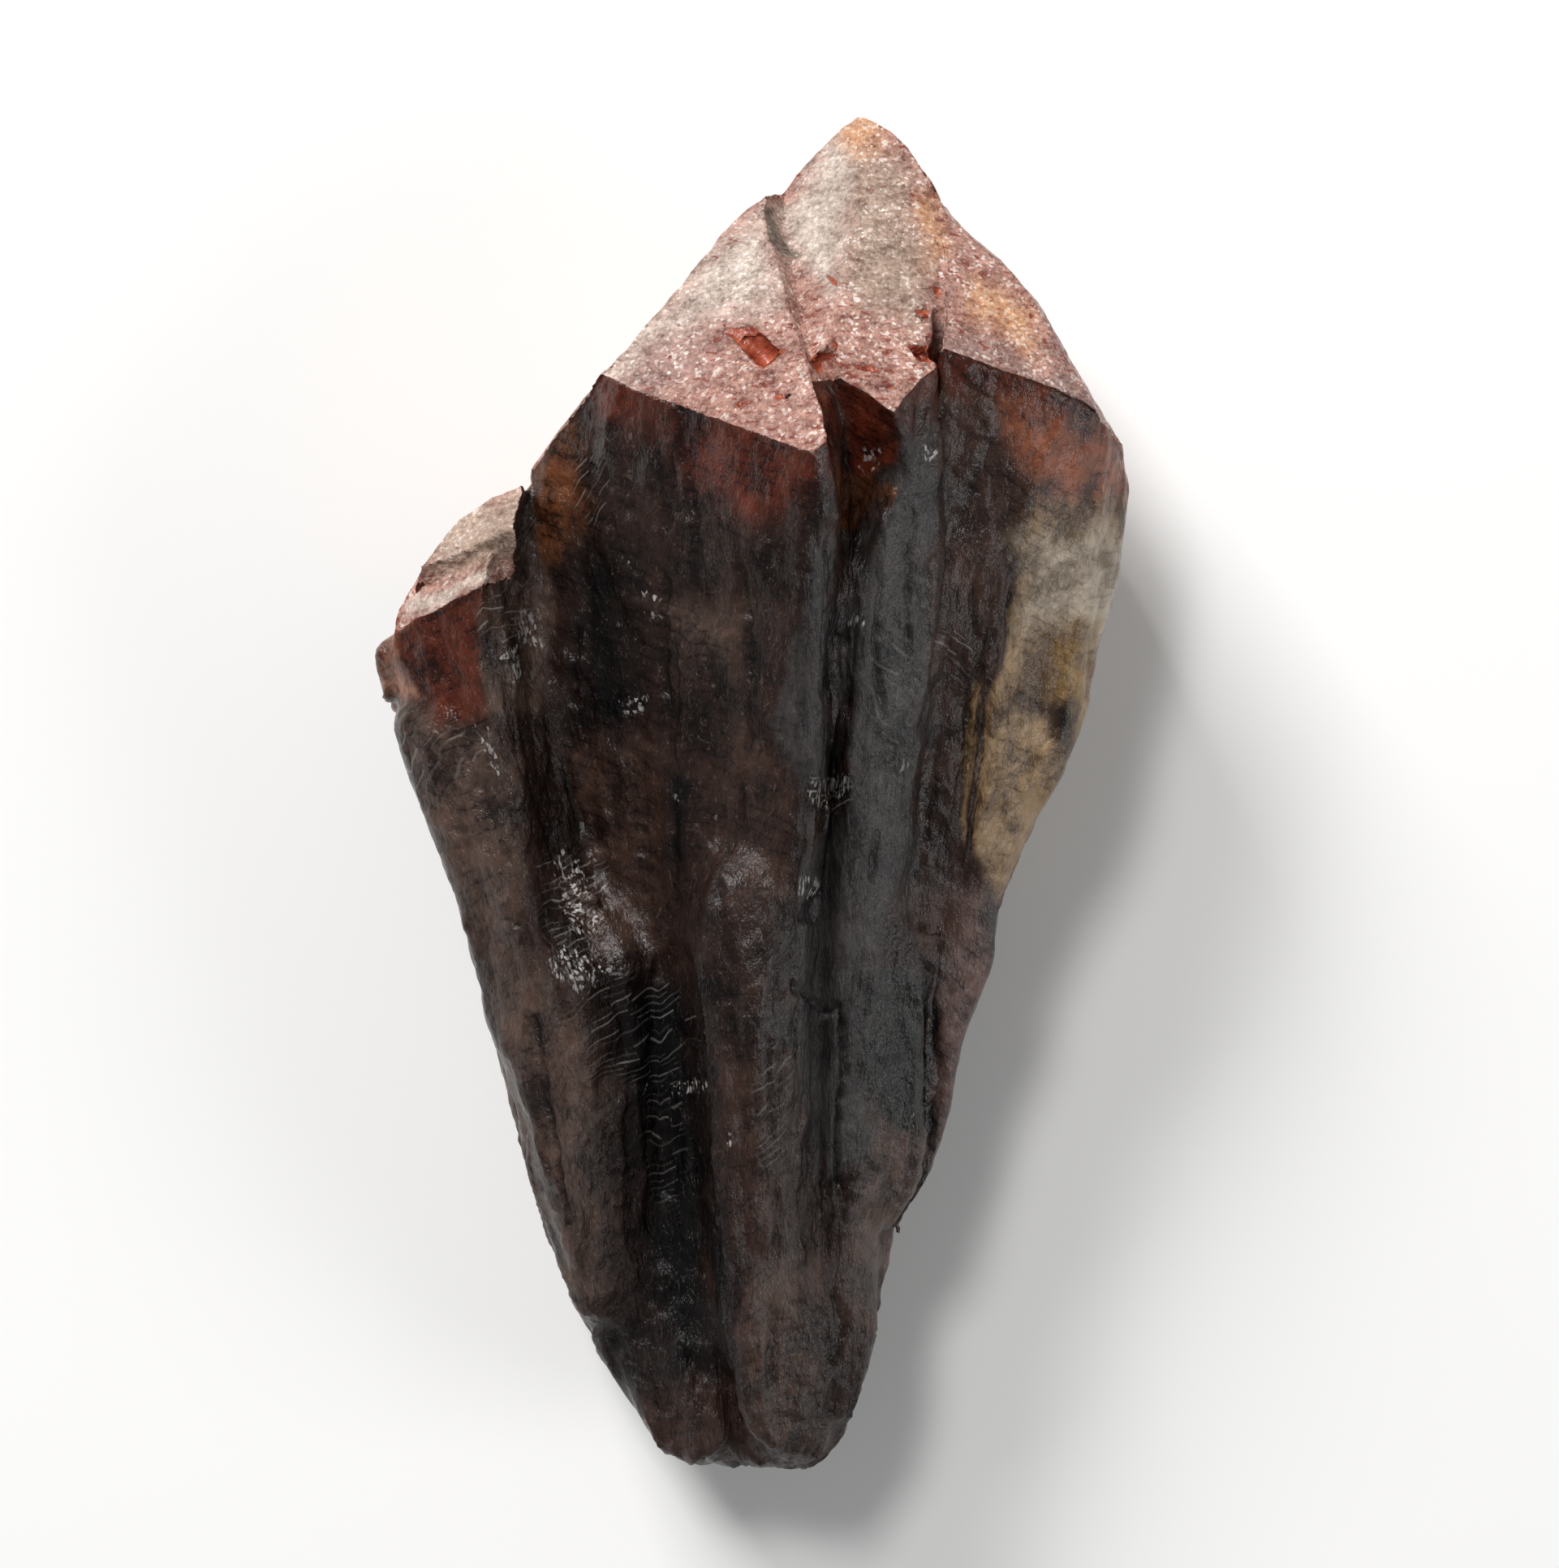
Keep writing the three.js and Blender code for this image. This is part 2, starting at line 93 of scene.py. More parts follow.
# The kinds of quartz in the stone: a dark and a light tone, the share of light that passes into the
# stone, the roughness, and how strong the relief is
KINDS = {
    "smoky": ("0c0503", "30201a", 0.0, 0.26, 1.0),
    "brown": ("160c08", "412d25", 0.0, 0.28, 1.0),
    "slate": ("1a1716", "3d3836", 0.0, 0.34, 0.3),
    "veiled": ("211612", "5f4a40", 0.15, 0.28, 0.9),
    "honey": ("241006", "744224", 0.15, 0.26, 0.9),
    "rust": ("200804", "5e2817", 0.1, 0.22, 0.7),
    "ember": ("2c0c06", "6c2e1c", 0.1, 0.20, 0.5),
    "rosy": ("5c2f21", "ba8469", 0.20, 0.30, 0.6),
    "terracotta": ("3e1a0e", "a05c3e", 0.20, 0.30, 0.6),
    "mauve": ("261b18", "765e57", 0.15, 0.28, 0.6),
    # The light tones of olive and pale are the quartz's own yellow colour and also a painted glow, standing for light
    # that passes through the thin right edge
    "olive": ("5a4228", "b89872", 0.35, 0.28, 0.5),
    "gold": ("6a4c26", "b08c56", 0.35, 0.28, 0.5),
    "pale": ("8a765c", "dac8b0", 0.40, 0.26, 0.5),
    "black": ("020202", "0f0c0b", 0.0, 0.22, 0.9),
    "lens": ("0a0c0a", "22231f", 0.0, 0.24, 0.4),
}
# Where each kind lies, seen from the front and running through the whole stone: kind, how soft its
# border is, and the corners of its outline. Later ones cover earlier ones.
ZONES = [
    ("veiled", 1.6, [(-18.9, 5.4), (-12.4, 4.0), (-11.6, -3.0), (-12.2, -9.0), (-14.6, -6.0), (-17.6, 0.6)]),
    ("veiled", 1.2, [(-13.4, -10.0), (-10.4, -8.6), (-7.6, -11.0), (-7.0, -24.0), (-8.6, -27.0), (-12.0, -17.0)]),
    ("brown", 1.0, [(-9.2, 3.0), (-5.2, 2.4), (-5.0, -7.6), (-8.6, -7.4)]),
    ("honey", 1.2, [(-11.8, 15.2), (-9.5, 18.2), (-8.0, 17.6), (-8.8, 13.6), (-9.9, 11.6), (-11.4, 12.4)]),
    ("black", 1.6, [(-9.0, 11.6), (-6.2, 12.0), (-5.5, 4.4), (-6.6, 3.0), (-8.8, 3.8)]),
    ("black", 0.4, [(-4.1, 1.2), (-3.3, 0.8), (-3.4, -3.8), (-4.1, -3.0)]),
    ("black", 1.6, [(-6.6, -8.8), (-2.8, -9.0), (-1.6, -18.0), (-1.4, -28.6), (-4.2, -29.0), (-5.4, -20.0)]),
    ("veiled", 1.2, [(-4.0, 9.2), (-0.8, 8.6), (-1.0, 6.0), (-3.6, 6.4)]),
    ("brown", 1.0, [(-2.2, 3.4), (1.8, 2.4), (1.6, -5.2), (-1.8, -5.4)]),
    ("brown", 0.8, [(-1.2, -12.6), (2.4, -12.0), (3.2, -32.8), (0.0, -33.4), (-1.0, -24.0)]),
    ("veiled", 0.9, [(0.2, -22.6), (2.6, -23.0), (3.0, -32.4), (0.6, -32.4)]),
    ("brown", 0.8, [(-5.2, -29.6), (-0.8, -29.4), (-0.6, -33.6), (-5.0, -33.6)]),
    ("veiled", 1.0, [(5.6, -16.6), (8.6, -15.0), (11.0, -12.0), (9.0, -19.0), (6.4, -27.0), (4.6, -26.0)]),
    ("slate", 0.35, [(2.9, 12.0), (4.2, 11.2), (3.8, 5.0), (3.9, 0.6), (2.6, 0.4), (0.9, 3.2), (2.1, 5.6)]),
    (
        "slate",
        0.3,
        [(7.0, 17.2), (9.3, 18.0), (9.2, 11.2), (8.7, 5.1), (8.8, 2.8), (8.4, -1.2), (7.8, -3.8), (6.4, -7.8)]
        + [(5.9, -12.8), (5.4, -18.0), (3.2, -19.0), (2.5, -8.7), (2.6, -4.1), (3.9, -1.8), (4.6, 0.5)]
        + [(4.3, 2.6), (4.8, 8.1), (5.6, 12.2)],
    ),
    (
        "brown",
        0.35,
        [(9.2, 21.6), (12.0, 21.4), (14.6, 19.6), (13.2, 17.9), (13.7, 14.6), (12.9, 10.5), (12.6, 6.2)]
        + [(11.5, 5.1), (10.8, 0.8), (10.9, -1.2), (8.4, -1.2), (8.8, 2.8), (8.7, 5.1), (9.2, 11.2)],
    ),
    (
        "olive",
        0.35,
        [(13.6, 14.6), (18.9, 14.9), (18.6, 9.5), (17.3, 6.8), (16.7, 3.9), (15.5, 0.6), (14.2, -1.6)]
        + [(13.2, -5.0), (12.0, -6.6), (11.3, -3.6), (10.9, -1.0), (10.8, 0.8), (11.5, 5.1), (12.6, 6.2)]
        + [(12.9, 10.5)],
    ),
    ("pale", 1.2, [(13.6, 12.6), (17.6, 13.0), (18.8, 9.6), (17.4, 7.0), (15.6, 8.0), (13.4, 8.6)]),
    ("gold", 0.9, [(14.6, 8.2), (17.0, 8.4), (16.8, 4.8), (15.6, 1.4), (14.8, 5.2)]),
    ("black", 0.4, [(14.4, 4.9), (15.7, 5.1), (15.3, 3.5), (15.0, 2.5), (14.6, 2.4), (14.5, 3.6)]),
    ("brown", 0.6, [(13.0, 5.2), (14.9, 5.0), (14.6, 3.8), (13.6, 4.0)]),
    ("terracotta", 1.2, [(12.0, 21.6), (19.0, 18.4), (19.0, 14.4), (16.6, 14.0), (14.2, 14.6), (12.6, 17.9)]),
    ("brown", 0.5, [(8.2, -3.0), (11.2, -2.6), (11.8, -4.6), (11.0, -6.4), (9.6, -8.0), (8.0, -7.0), (7.2, -5.4)]),
    ("mauve", 0.8, [(11.8, -4.6), (14.0, -5.0), (11.4, -12.8), (9.4, -19.4), (7.4, -19.0), (8.8, -12.4), (9.6, -8.0)]),
    ("lens", 0.3, [(6.3, -8.6), (8.0, -8.7), (8.8, -10.4), (8.7, -13.5), (8.0, -16.6), (6.2, -17.0), (5.8, -13.0)]),
    ("rust", 0.7, [(-17.4, 9.2), (-13.9, 10.4), (-13.2, 7.4), (-13.6, 3.6), (-15.4, 3.2), (-17.6, 6.6)]),
    ("rosy", 0.4, [(-19.2, 8.4), (-17.0, 8.4), (-17.2, 6.6), (-16.8, 4.8), (-19.2, 4.6)]),
    ("veiled", 0.5, [(-12.6, 14.8), (-10.6, 15.6), (-10.0, 10.0), (-10.2, 4.0), (-12.6, 3.4), (-13.7, 6.0), (-13.8, 10.2)]),
    ("ember", 1.6, [(-3.4, 17.6), (1.2, 16.4), (2.8, 15.6), (1.8, 14.0), (-0.4, 14.0), (-3.0, 15.8)]),
    ("ember", 0.3, [(4.1, 19.9), (5.0, 20.1), (5.9, 19.5), (7.0, 18.3), (6.8, 16.6), (5.8, 15.4), (4.4, 15.6)]),
    ("honey", 0.4, [(4.3, 15.6), (5.8, 15.4), (6.6, 14.8), (5.2, 12.8), (4.3, 12.8)]),
]
# Spots where chips get painted glints, light grey standing for their highlights, and lean more: the corners of each
# spot
PAINTED_GLINT_SPOTS = [
    [(-9.6, -2.8), (-8.2, -3.4), (-7.4, -6.4), (-8.4, -6.8), (-9.4, -4.8)],
    [(-10.4, -8.2), (-9.0, -7.4), (-6.4, -8.4), (-8.2, -10.0)],
    [(-11.6, 9.0), (-10.6, 9.2), (-10.4, 7.4), (-11.4, 7.6)],
    [(-13.5, 3.4), (-13.1, 3.3), (-12.3, 1.6), (-12.2, 0.8), (-12.8, 1.8)],
    [(4.6, 8.5), (5.3, 8.7), (5.4, 8.3), (4.8, 8.1)],
    [(3.1, 0.2), (3.9, 0.9), (4.6, 0.8), (4.5, 0.3), (3.7, -0.6), (3.2, -0.3)],
    [(7.2, 1.5), (7.6, 1.9), (7.7, 1.3), (7.3, 1.0)],
    [(2.8, -4.2), (3.3, -4.1), (3.5, -4.7), (2.9, -5.0)],
    [(8.2, 16.9), (8.8, 17.0), (9.0, 16.5), (8.4, 16.2)],
    [(5.2, 16.6), (6.1, 16.8), (6.2, 16.0), (5.5, 15.6)],
    [(-6.5, 4.5), (-5.2, 4.8), (-5.1, 4.6), (-6.4, 4.3)],
    [(-6.4, 4.1), (-5.3, 4.35), (-5.3, 4.15), (-6.3, 3.9)],
    [(-4.0, -14.4), (-2.2, -14.0), (-2.2, -14.3), (-3.9, -14.8)],
    [(-1.2, -16.4), (-0.8, -16.6), (-1.0, -17.0)],
    [(7.2, -15.9), (7.5, -15.8), (7.4, -16.7)],
    [(-3.95, -0.05), (-3.65, 0.05), (-3.7, -0.3)],
    [(-6.2, 11.7), (-5.8, 11.7), (-5.9, 11.3)],
    [(-5.3, 10.1), (-4.5, 9.6), (-4.6, 9.4), (-5.3, 9.9)],
    [(-5.2, 9.2), (-4.4, 8.8), (-4.3, 8.5), (-5.2, 8.95)],
    [(-11.9, 7.2), (-11.3, 7.5), (-10.8, 6.0), (-11.5, 5.6)],
]
# The frosting of the cap faces comes in kinds too: a dark and a light tone, and how many red specks
FROSTS = {
    "pink": ("5e2e22", "cc9c8c", 1.0),
    "mauve": ("583a34", "b89388", 0.6),
    # A pale frosting whose light tone is painted sheen, where the caps catch the light
    "sheen_silver": ("7c685c", "e2d0c2", 0.1),
    "tan": ("745c4c", "c8ac9a", 0.15),
    "orange": ("985632", "e4b48a", 0.3),
    # A dark frosting, painted shade in the narrow cleft between the front and the middle tooth
    "cleft_shade": ("2c221c", "8c7c6c", 0.0),
}
# Three of the zones below are painted sheen: the pale frosting on the front cap's upper left, on the middle tooth's
# left strip and on a band of the left tooth
FROST_ZONES = [
    ("sheen_silver", 1.6, [(0.4, 28.8), (1.2, 25.4), (0.2, 23.4), (-2.6, 23.2), (-7.6, 20.0), (-8.0, 20.8), (-2.6, 26.6)]),
    ("mauve", 1.2, [(-8.4, 19.8), (-2.6, 22.6), (-2.0, 20.4), (-6.4, 18.6), (-9.4, 17.6), (-9.4, 18.8)]),
    ("sheen_silver", 0.8, [(4.6, 33.4), (1.0, 29.2), (2.2, 26.4), (3.6, 24.0), (4.4, 26.0), (5.0, 31.4)]),
    ("tan", 1.2, [(5.2, 31.8), (7.4, 31.0), (8.6, 26.4), (7.8, 22.8), (4.6, 24.4), (4.4, 27.6)]),
    ("orange", 0.9, [(4.2, 33.0), (6.4, 33.8), (6.6, 32.2), (5.2, 31.2)]),
    ("orange", 0.7, [(8.2, 29.6), (9.4, 29.2), (9.6, 26.4), (8.8, 25.8)]),
    ("orange", 0.9, [(11.2, 25.0), (13.8, 23.6), (13.4, 21.6), (10.8, 23.4)]),
    ("mauve", 0.6, [(8.9, 22.6), (12.6, 21.8), (17.8, 18.6), (17.8, 17.6), (12.6, 20.4), (9.2, 21.2)]),
    ("tan", 0.8, [(-15.4, 14.0), (-11.2, 15.0), (-11.4, 11.6), (-15.6, 11.0)]),
    ("sheen_silver", 0.4, [(-17.0, 9.4), (-15.9, 9.8), (-13.0, 11.2), (-13.2, 10.4), (-16.6, 8.7)]),
    # Painted shade along the cleft between the front and the middle tooth
    ("cleft_shade", 0.12, [(0.3, 29.1), (0.9, 28.9), (2.4, 26.1), (2.1, 26.0), (1.2, 27.2)]),
]
# Walls between the teeth that are frosted like the caps: the corners of their outlines
FROSTED_WALLS = [
    [(-1.6, 30.2), (1.6, 30.2), (3.8, 26.6), (4.9, 23.6), (5.0, 20.0), (2.4, 20.0), (0.6, 25.0), (-1.0, 28.4)],
    [(8.3, 26.2), (10.2, 26.2), (10.2, 21.5), (8.3, 21.5)],
    [(-17.2, 12.2), (-13.4, 13.2), (-11.4, 13.0), (-11.4, 10.8), (-13.0, 10.2), (-17.2, 10.4)],
]
WALL_FACING = -0.3  # least upward part of the normal of a frosted wall
# Where the columns have grown together, so that the gaps between them are filled: how much, and the
# corners of the outline, which keep clear of the stone's own outline
GROWN_TOGETHER = [
    (1.0, [(2.6, 13.0), (6.4, 13.0), (6.2, 1.6), (2.0, 1.6)]),
    (1.0, [(1.2, 1.6), (6.0, 1.6), (5.0, -20.0), (3.2, -28.0), (0.8, -28.0)]),
    (1.0, [(10.0, 13.4), (13.8, 13.4), (13.0, 4.0), (10.4, -3.0), (7.2, -14.0), (5.0, -22.0), (7.6, -6.0), (9.4, 3.0)]),
    (0.3, [(-4.6, -1.0), (1.0, -1.0), (0.0, -8.0), (-4.6, -8.0)]),
    (0.3, [(-7.0, -9.0), (0.0, -9.0), (0.4, -29.0), (-4.6, -29.0), (-6.0, -20.0)]),
    (0.6, [(-13.8, 10.0), (-9.0, 12.6), (-8.4, 4.0), (-8.0, -6.0), (-11.4, -4.0), (-13.0, 4.0)]),
]
# Angular windows in the frosting, where the clear red quartz shows: their corners
WINDOWS = [
    [(-1.59, 22.68), (0.11, 22.9), (0.88, 21.86), (1.7, 21.69), (0.49, 20.6), (-0.83, 22.27)],
    [(2.75, 21.34), (4.16, 21.28), (3.46, 20.34)],
    [(3.63, 22.1), (4.22, 21.86), (4.16, 21.34)],
    [(5.04, 20.85), (6.3, 20.68), (6.3, 20.45), (5.1, 20.6)],
    [(1.05, 19.34), (1.87, 19.46), (1.28, 18.99)],
    [(-0.83, 18.93), (-0.36, 19.14), (-0.24, 19.05), (-0.59, 18.75)],
    [(7.96, 23.68), (8.81, 23.73), (8.6, 22.93), (8.44, 22.99)],
    [(7.53, 21.97), (9.08, 21.76), (9.08, 21.0), (8.12, 21.0)],
    [(8.97, 24.91), (9.35, 24.85), (9.29, 24.37), (9.03, 24.43)],
    [(6.57, 19.73), (7.0, 19.79), (6.84, 19.47)],
    [(12.28, 23.2), (12.64, 23.25), (12.48, 23.02)],
    [(13.28, 23.68), (13.67, 23.57), (13.51, 23.31)],
    [(3.4, 25.6), (4.0, 25.2), (4.3, 24.7), (3.9, 24.9)],
]
WINDOW_DEPTH = 0.25
# Cracks and seams between the columns, seen from the front: width, depth, and points along them
CRACKS = [
    (0.3, 0.3, [(4.0, 13.0), (4.4, 9.0), (4.1, 4.0), (3.8, -3.0), (2.8, -6.0)]),
    (0.25, 0.22, [(6.6, 14.4), (6.2, 8.0), (6.6, 2.0), (5.9, -4.0)]),
    (0.2, 0.18, [(7.6, 12.0), (7.9, 5.0), (7.5, -2.0)]),
    (0.25, 0.25, [(2.6, -9.4), (4.2, -11.0), (4.4, -14.0)]),
    (0.3, 0.3, [(3.95, -10.4), (4.1, -20.8), (3.6, -28.0)]),
    (0.3, 0.25, [(-4.0, 14.0), (-4.4, 8.0), (-3.6, 0.0), (-3.8, -6.0)]),
    (0.25, 0.2, [(-0.4, 11.0), (0.2, 4.0), (-0.6, -2.0)]),
    (0.3, 0.25, [(-8.6, 8.0), (-9.2, 2.0), (-8.0, -4.0)]),
    (0.3, 0.22, [(11.2, 12.0), (11.0, 4.0), (10.0, -3.0)]),
    (0.35, 0.25, [(12.9, 12.0), (12.6, 6.4), (11.3, 4.6), (10.8, 0.8), (11.0, -2.0)]),
    (0.3, 0.25, [(8.8, -8.6), (8.9, -13.0), (7.6, -19.0), (6.0, -27.0)]),
    (0.3, 0.25, [(-10.6, -11.0), (-9.6, -18.0), (-8.4, -24.0)]),
    (0.25, 0.2, [(0.9, -12.0), (1.3, -20.0), (1.0, -29.0)]),
]
# Combs of fine growth steps: middle, half width and half height of the patch, the direction of the
# steps in degrees up from the right, their spacing, and how strongly they show
COMBS = [
    ((-12.1, 8.3), (1.6, 1.9), 20, 0.30, 1.0),
    ((-11.2, 12.0), (0.9, 2.2), 60, 0.26, 0.6),
    ((-7.8, 15.0), (1.2, 2.0), 55, 0.26, 0.5),
    ((-15.0, 1.4), (2.8, 2.0), 62, 0.45, 0.45),
    ((-8.7, -5.0), (1.8, 2.6), 24, 0.30, 0.7),
    ((-6.0, -11.6), (3.6, 3.0), 28, 0.30, 0.6),
    ((-4.2, -17.0), (1.2, 3.6), 24, 0.34, 0.35),
    ((10.2, 6.4), (1.4, 1.9), -32, 0.30, 0.5),
    ((3.9, 0.0), (0.9, 1.0), 30, 0.28, 1.0),
    ((7.0, 5.0), (1.2, 5.0), -40, 0.60, 0.25),
    ((1.4, -15.0), (1.4, 4.0), 35, 0.36, 0.4),
]


def smoothstep(low, high, value):
    """0 below low, 1 above high, and an S-shaped cubic between them."""
    t = np.clip((value - low) / (high - low), 0.0, 1.0)
    return t * t * (3.0 - 2.0 * t)


def scatter(cells, seed):
    """A number from 0 to 1 for each row of whole numbers, the same each run: an integer hash."""
    c = cells.astype(np.int64).astype(np.uint32)
    h = c[..., 0] * np.uint32(0x8DA6B343) ^ c[..., 1] * np.uint32(0xD8163841) ^ c[..., 2] * np.uint32(0xCB1AB31F)
    h ^= np.uint32((seed * 0x9E3779B1) & 0xFFFFFFFF)
    h = (h ^ (h >> np.uint32(15))) * np.uint32(0x2C1B3C6D)
    h = (h ^ (h >> np.uint32(12))) * np.uint32(0x297A2D39)
    h ^= h >> np.uint32(15)
    return h.astype(float) / 0xFFFFFFFF


def noise(points, seed):
    """Smooth noise from -1 to 1: random numbers at whole coordinates, eased between them."""
    base = np.floor(points)
    t = points - base
    t = t * t * t * (t * (6.0 * t - 15.0) + 10.0)
    total = np.zeros(len(points))
    for corner in np.ndindex(2, 2, 2):
        weight = np.prod(np.where(corner, t, 1.0 - t), axis=1)
        total += weight * scatter(base + corner, seed)
    return 2.0 * total - 1.0


def fractal(points, seed, octaves):
    """Noise summed over octaves, each twice as fine and half as strong as the last."""
    total = sum(noise(points * 2.0**i, seed + i) / 2.0**i for i in range(octaves))
    return total / (2.0 - 2.0 ** (1 - octaves))


def drift(points, seed, octaves, count):
    """Independent fractal noise for each of some coordinates."""
    return np.stack([fractal(points, seed + i, octaves) for i in range(count)], axis=1)


def cells(points, seed):
    """The nearest of one random point per unit cube: offset from it, its cube, and the gap to the next nearest."""
    base = np.floor(points)
    nearest = np.full(len(points), 9.0)
    second = np.full(len(points), 9.0)
    offset = np.zeros_like(points)
    owner = np.zeros_like(points)
    for step in np.ndindex(3, 3, 3):
        cube = base + step - 1
        spot = cube + np.stack([scatter(cube, seed + i) for i in range(3)], axis=1)
        away = points - spot
        distance = np.linalg.norm(away, axis=1)
        closer = distance < nearest
        second = np.where(closer, nearest, np.minimum(second, distance))
        nearest = np.where(closer, distance, nearest)
        offset[closer] = away[closer]
        owner[closer] = cube[closer]
    return offset, owner, second - nearest


def terraces(value, count, edge):
    """Turns a slope into flat treads with risers: each riser takes the share edge of its step."""
    steps = value * count
    whole = np.floor(steps)
    return (whole + smoothstep(0.5 - edge / 2, 0.5 + edge / 2, steps - whole)) / count


def saw(phase, riser):
    """Rises slowly over each period and falls back over its last share, riser, from 0 to 1."""
    t = phase - np.floor(phase)
    return np.where(t < 1.0 - riser, t / (1.0 - riser), (1.0 - t) / riser)


def merged(solid):
    """The solid's loose triangles as shared points, and rows of three point numbers."""
    mesh = solid.data
    corners = np.empty(len(mesh.loops), np.int64)
    mesh.loops.foreach_get("vertex_index", corners)
    places = np.empty(len(mesh.vertices) * 3)
    mesh.vertices.foreach_get("co", places)
    places = np.round(places.reshape(-1, 3) / MM, 4)
    points, number = np.unique(places, axis=0, return_inverse=True)
    return points, number.reshape(-1)[corners].reshape(-1, 3)


def normals_of(points, faces):
    """Each face's normal, as long as twice its area: the cross product of two of its edges."""
    a, b, c = (points[faces[:, i]] for i in range(3))
    return np.cross(b - a, c - a)


def gathered(values, faces, count):
    """The sum of each face's values at its three points."""
    total = np.zeros((count,) + values.shape[1:])
    for i in range(3):
        np.add.at(total, faces[:, i], values)
    return total


def unit(vectors):
    return vectors / np.maximum(np.linalg.norm(vectors, axis=-1, keepdims=True), 1e-12)


def edge_keys(faces, count):
    """One number for each edge of each face, the same from both of its sides."""
    following = np.roll(faces, -1, axis=1)
    return np.minimum(faces, following) * count + np.maximum(faces, following)


def edges_of(faces, count):
    """The edges of all faces: a number for each face's three edges, and the two ends of each edge."""
    keys, number = np.unique(edge_keys(faces, count), return_inverse=True)
    return number.reshape(faces.shape), np.stack([keys // count, keys % count], axis=1)


def flat_faces(points, faces):
    """Numbers the solid's flat faces. Two triangles that meet at hardly any angle share a number, and so
    do a triangle too thin to have a sure normal and its neighbour across its longest edge."""
    number, ends = edges_of(faces, len(points))
    long_normals = normals_of(points, faces)
    normals = unit(long_normals)
    length = np.linalg.norm(points[ends[:, 0]] - points[ends[:, 1]], axis=1)
    thin = np.linalg.norm(long_normals, axis=1) / length[number].max(axis=1) < THIN
    longest = number[np.arange(len(faces)), length[number].argmax(axis=1)]
    order = np.argsort(number.ravel(), kind="stable")
    pairs = order.reshape(-1, 2) // 3
    edge = number.ravel()[order].reshape(-1, 2)[:, 0]
    alike = np.einsum("ij,ij->i", normals[pairs[:, 0]], normals[pairs[:, 1]])
    either_thin = thin[pairs].any(axis=1)
    joined = (alike > math.cos(math.radians(FLAT_ANGLE))) & ~either_thin
    joined |= (thin[pairs] & (longest[pairs] == edge[:, None])).any(axis=1)
    pairs = pairs[joined]
    label = np.arange(len(faces))
    while True:
        lowest = label[pairs].min(axis=1)
        new = label.copy()
        np.minimum.at(new, pairs[:, 0], lowest)
        np.minimum.at(new, pairs[:, 1], lowest)
        if (new == label).all():
            break
        label = new
    return np.unique(label, return_inverse=True)[1].reshape(-1), number, ends


def inside(spots, starts, stops):
    """Which spots of a plane lie within closed outlines: a line to the right crosses them an odd number of times."""
    x, y = spots[:, :1], spots[:, 1:]
    spans = (starts[:, 1] > y) != (stops[:, 1] > y)
    rise = np.where(stops[:, 1] == starts[:, 1], 1.0, stops[:, 1] - starts[:, 1])
    reach = starts[:, 0] + (y - starts[:, 1]) * (stops[:, 0] - starts[:, 0]) / rise
    return (spans & (x < reach)).sum(axis=1) % 2 == 1


def clearance(spots, starts, stops):
    """How far each spot of a plane lies from the nearest of some straight lines."""
    along = stops - starts
    away = spots[:, None, :] - starts
    share = np.clip((away * along).sum(-1) / np.maximum((along**2).sum(-1), 1e-12), 0, 1)
    return np.linalg.norm(away - share[..., None] * along, axis=2).min(axis=1)


def divided(points, ends, steps):
    """Cuts straight edges into near equal bits: all points, each bit's edge, and each bit's two ends."""
    start, stop = points[ends[:, 0]], points[ends[:, 1]]
    parts = np.maximum(np.round(np.linalg.norm(stop - start, axis=1) / steps).astype(int), 1)
    first_new = len(points) + np.cumsum(parts - 1) - (parts - 1)
    owner = np.repeat(np.arange(len(ends)), parts - 1)
    share = (np.arange(len(owner)) + len(points) - first_new[owner] + 1) / parts[owner]
    between = start[owner] + share[:, None] * (stop - start)[owner]
    edge = np.repeat(np.arange(len(ends)), parts)
    place = np.arange(len(edge)) - np.repeat(np.cumsum(parts) - parts, parts)
    bit_starts = np.where(place == 0, ends[edge, 0], first_new[edge] + place - 1)
    bit_stops = np.where(place == parts[edge] - 1, ends[edge, 1], first_new[edge] + place)
    return np.vstack([points, between]), edge, np.stack([bit_starts, bit_stops], axis=1)


def rows_inside(starts, stops, gap):
    """Spots inside closed outlines of a plane, in rows that make near equal triangles."""
    low = np.minimum(starts, stops).min(axis=0)
    high = np.maximum(starts, stops).max(axis=0)
    row = gap * math.sqrt(0.75)
    columns, rows = ((high - low) / (gap, row)).astype(int) + 1
    i, j = np.meshgrid(np.arange(columns), np.arange(rows))
    spots = low + np.stack([(i + 0.5 * (j % 2)) * gap, j * row], axis=-1).reshape(-1, 2)
    spots = spots[inside(spots, starts, stops)]
    return spots[clearance(spots, starts, stops) > NEAR_RIM * gap]


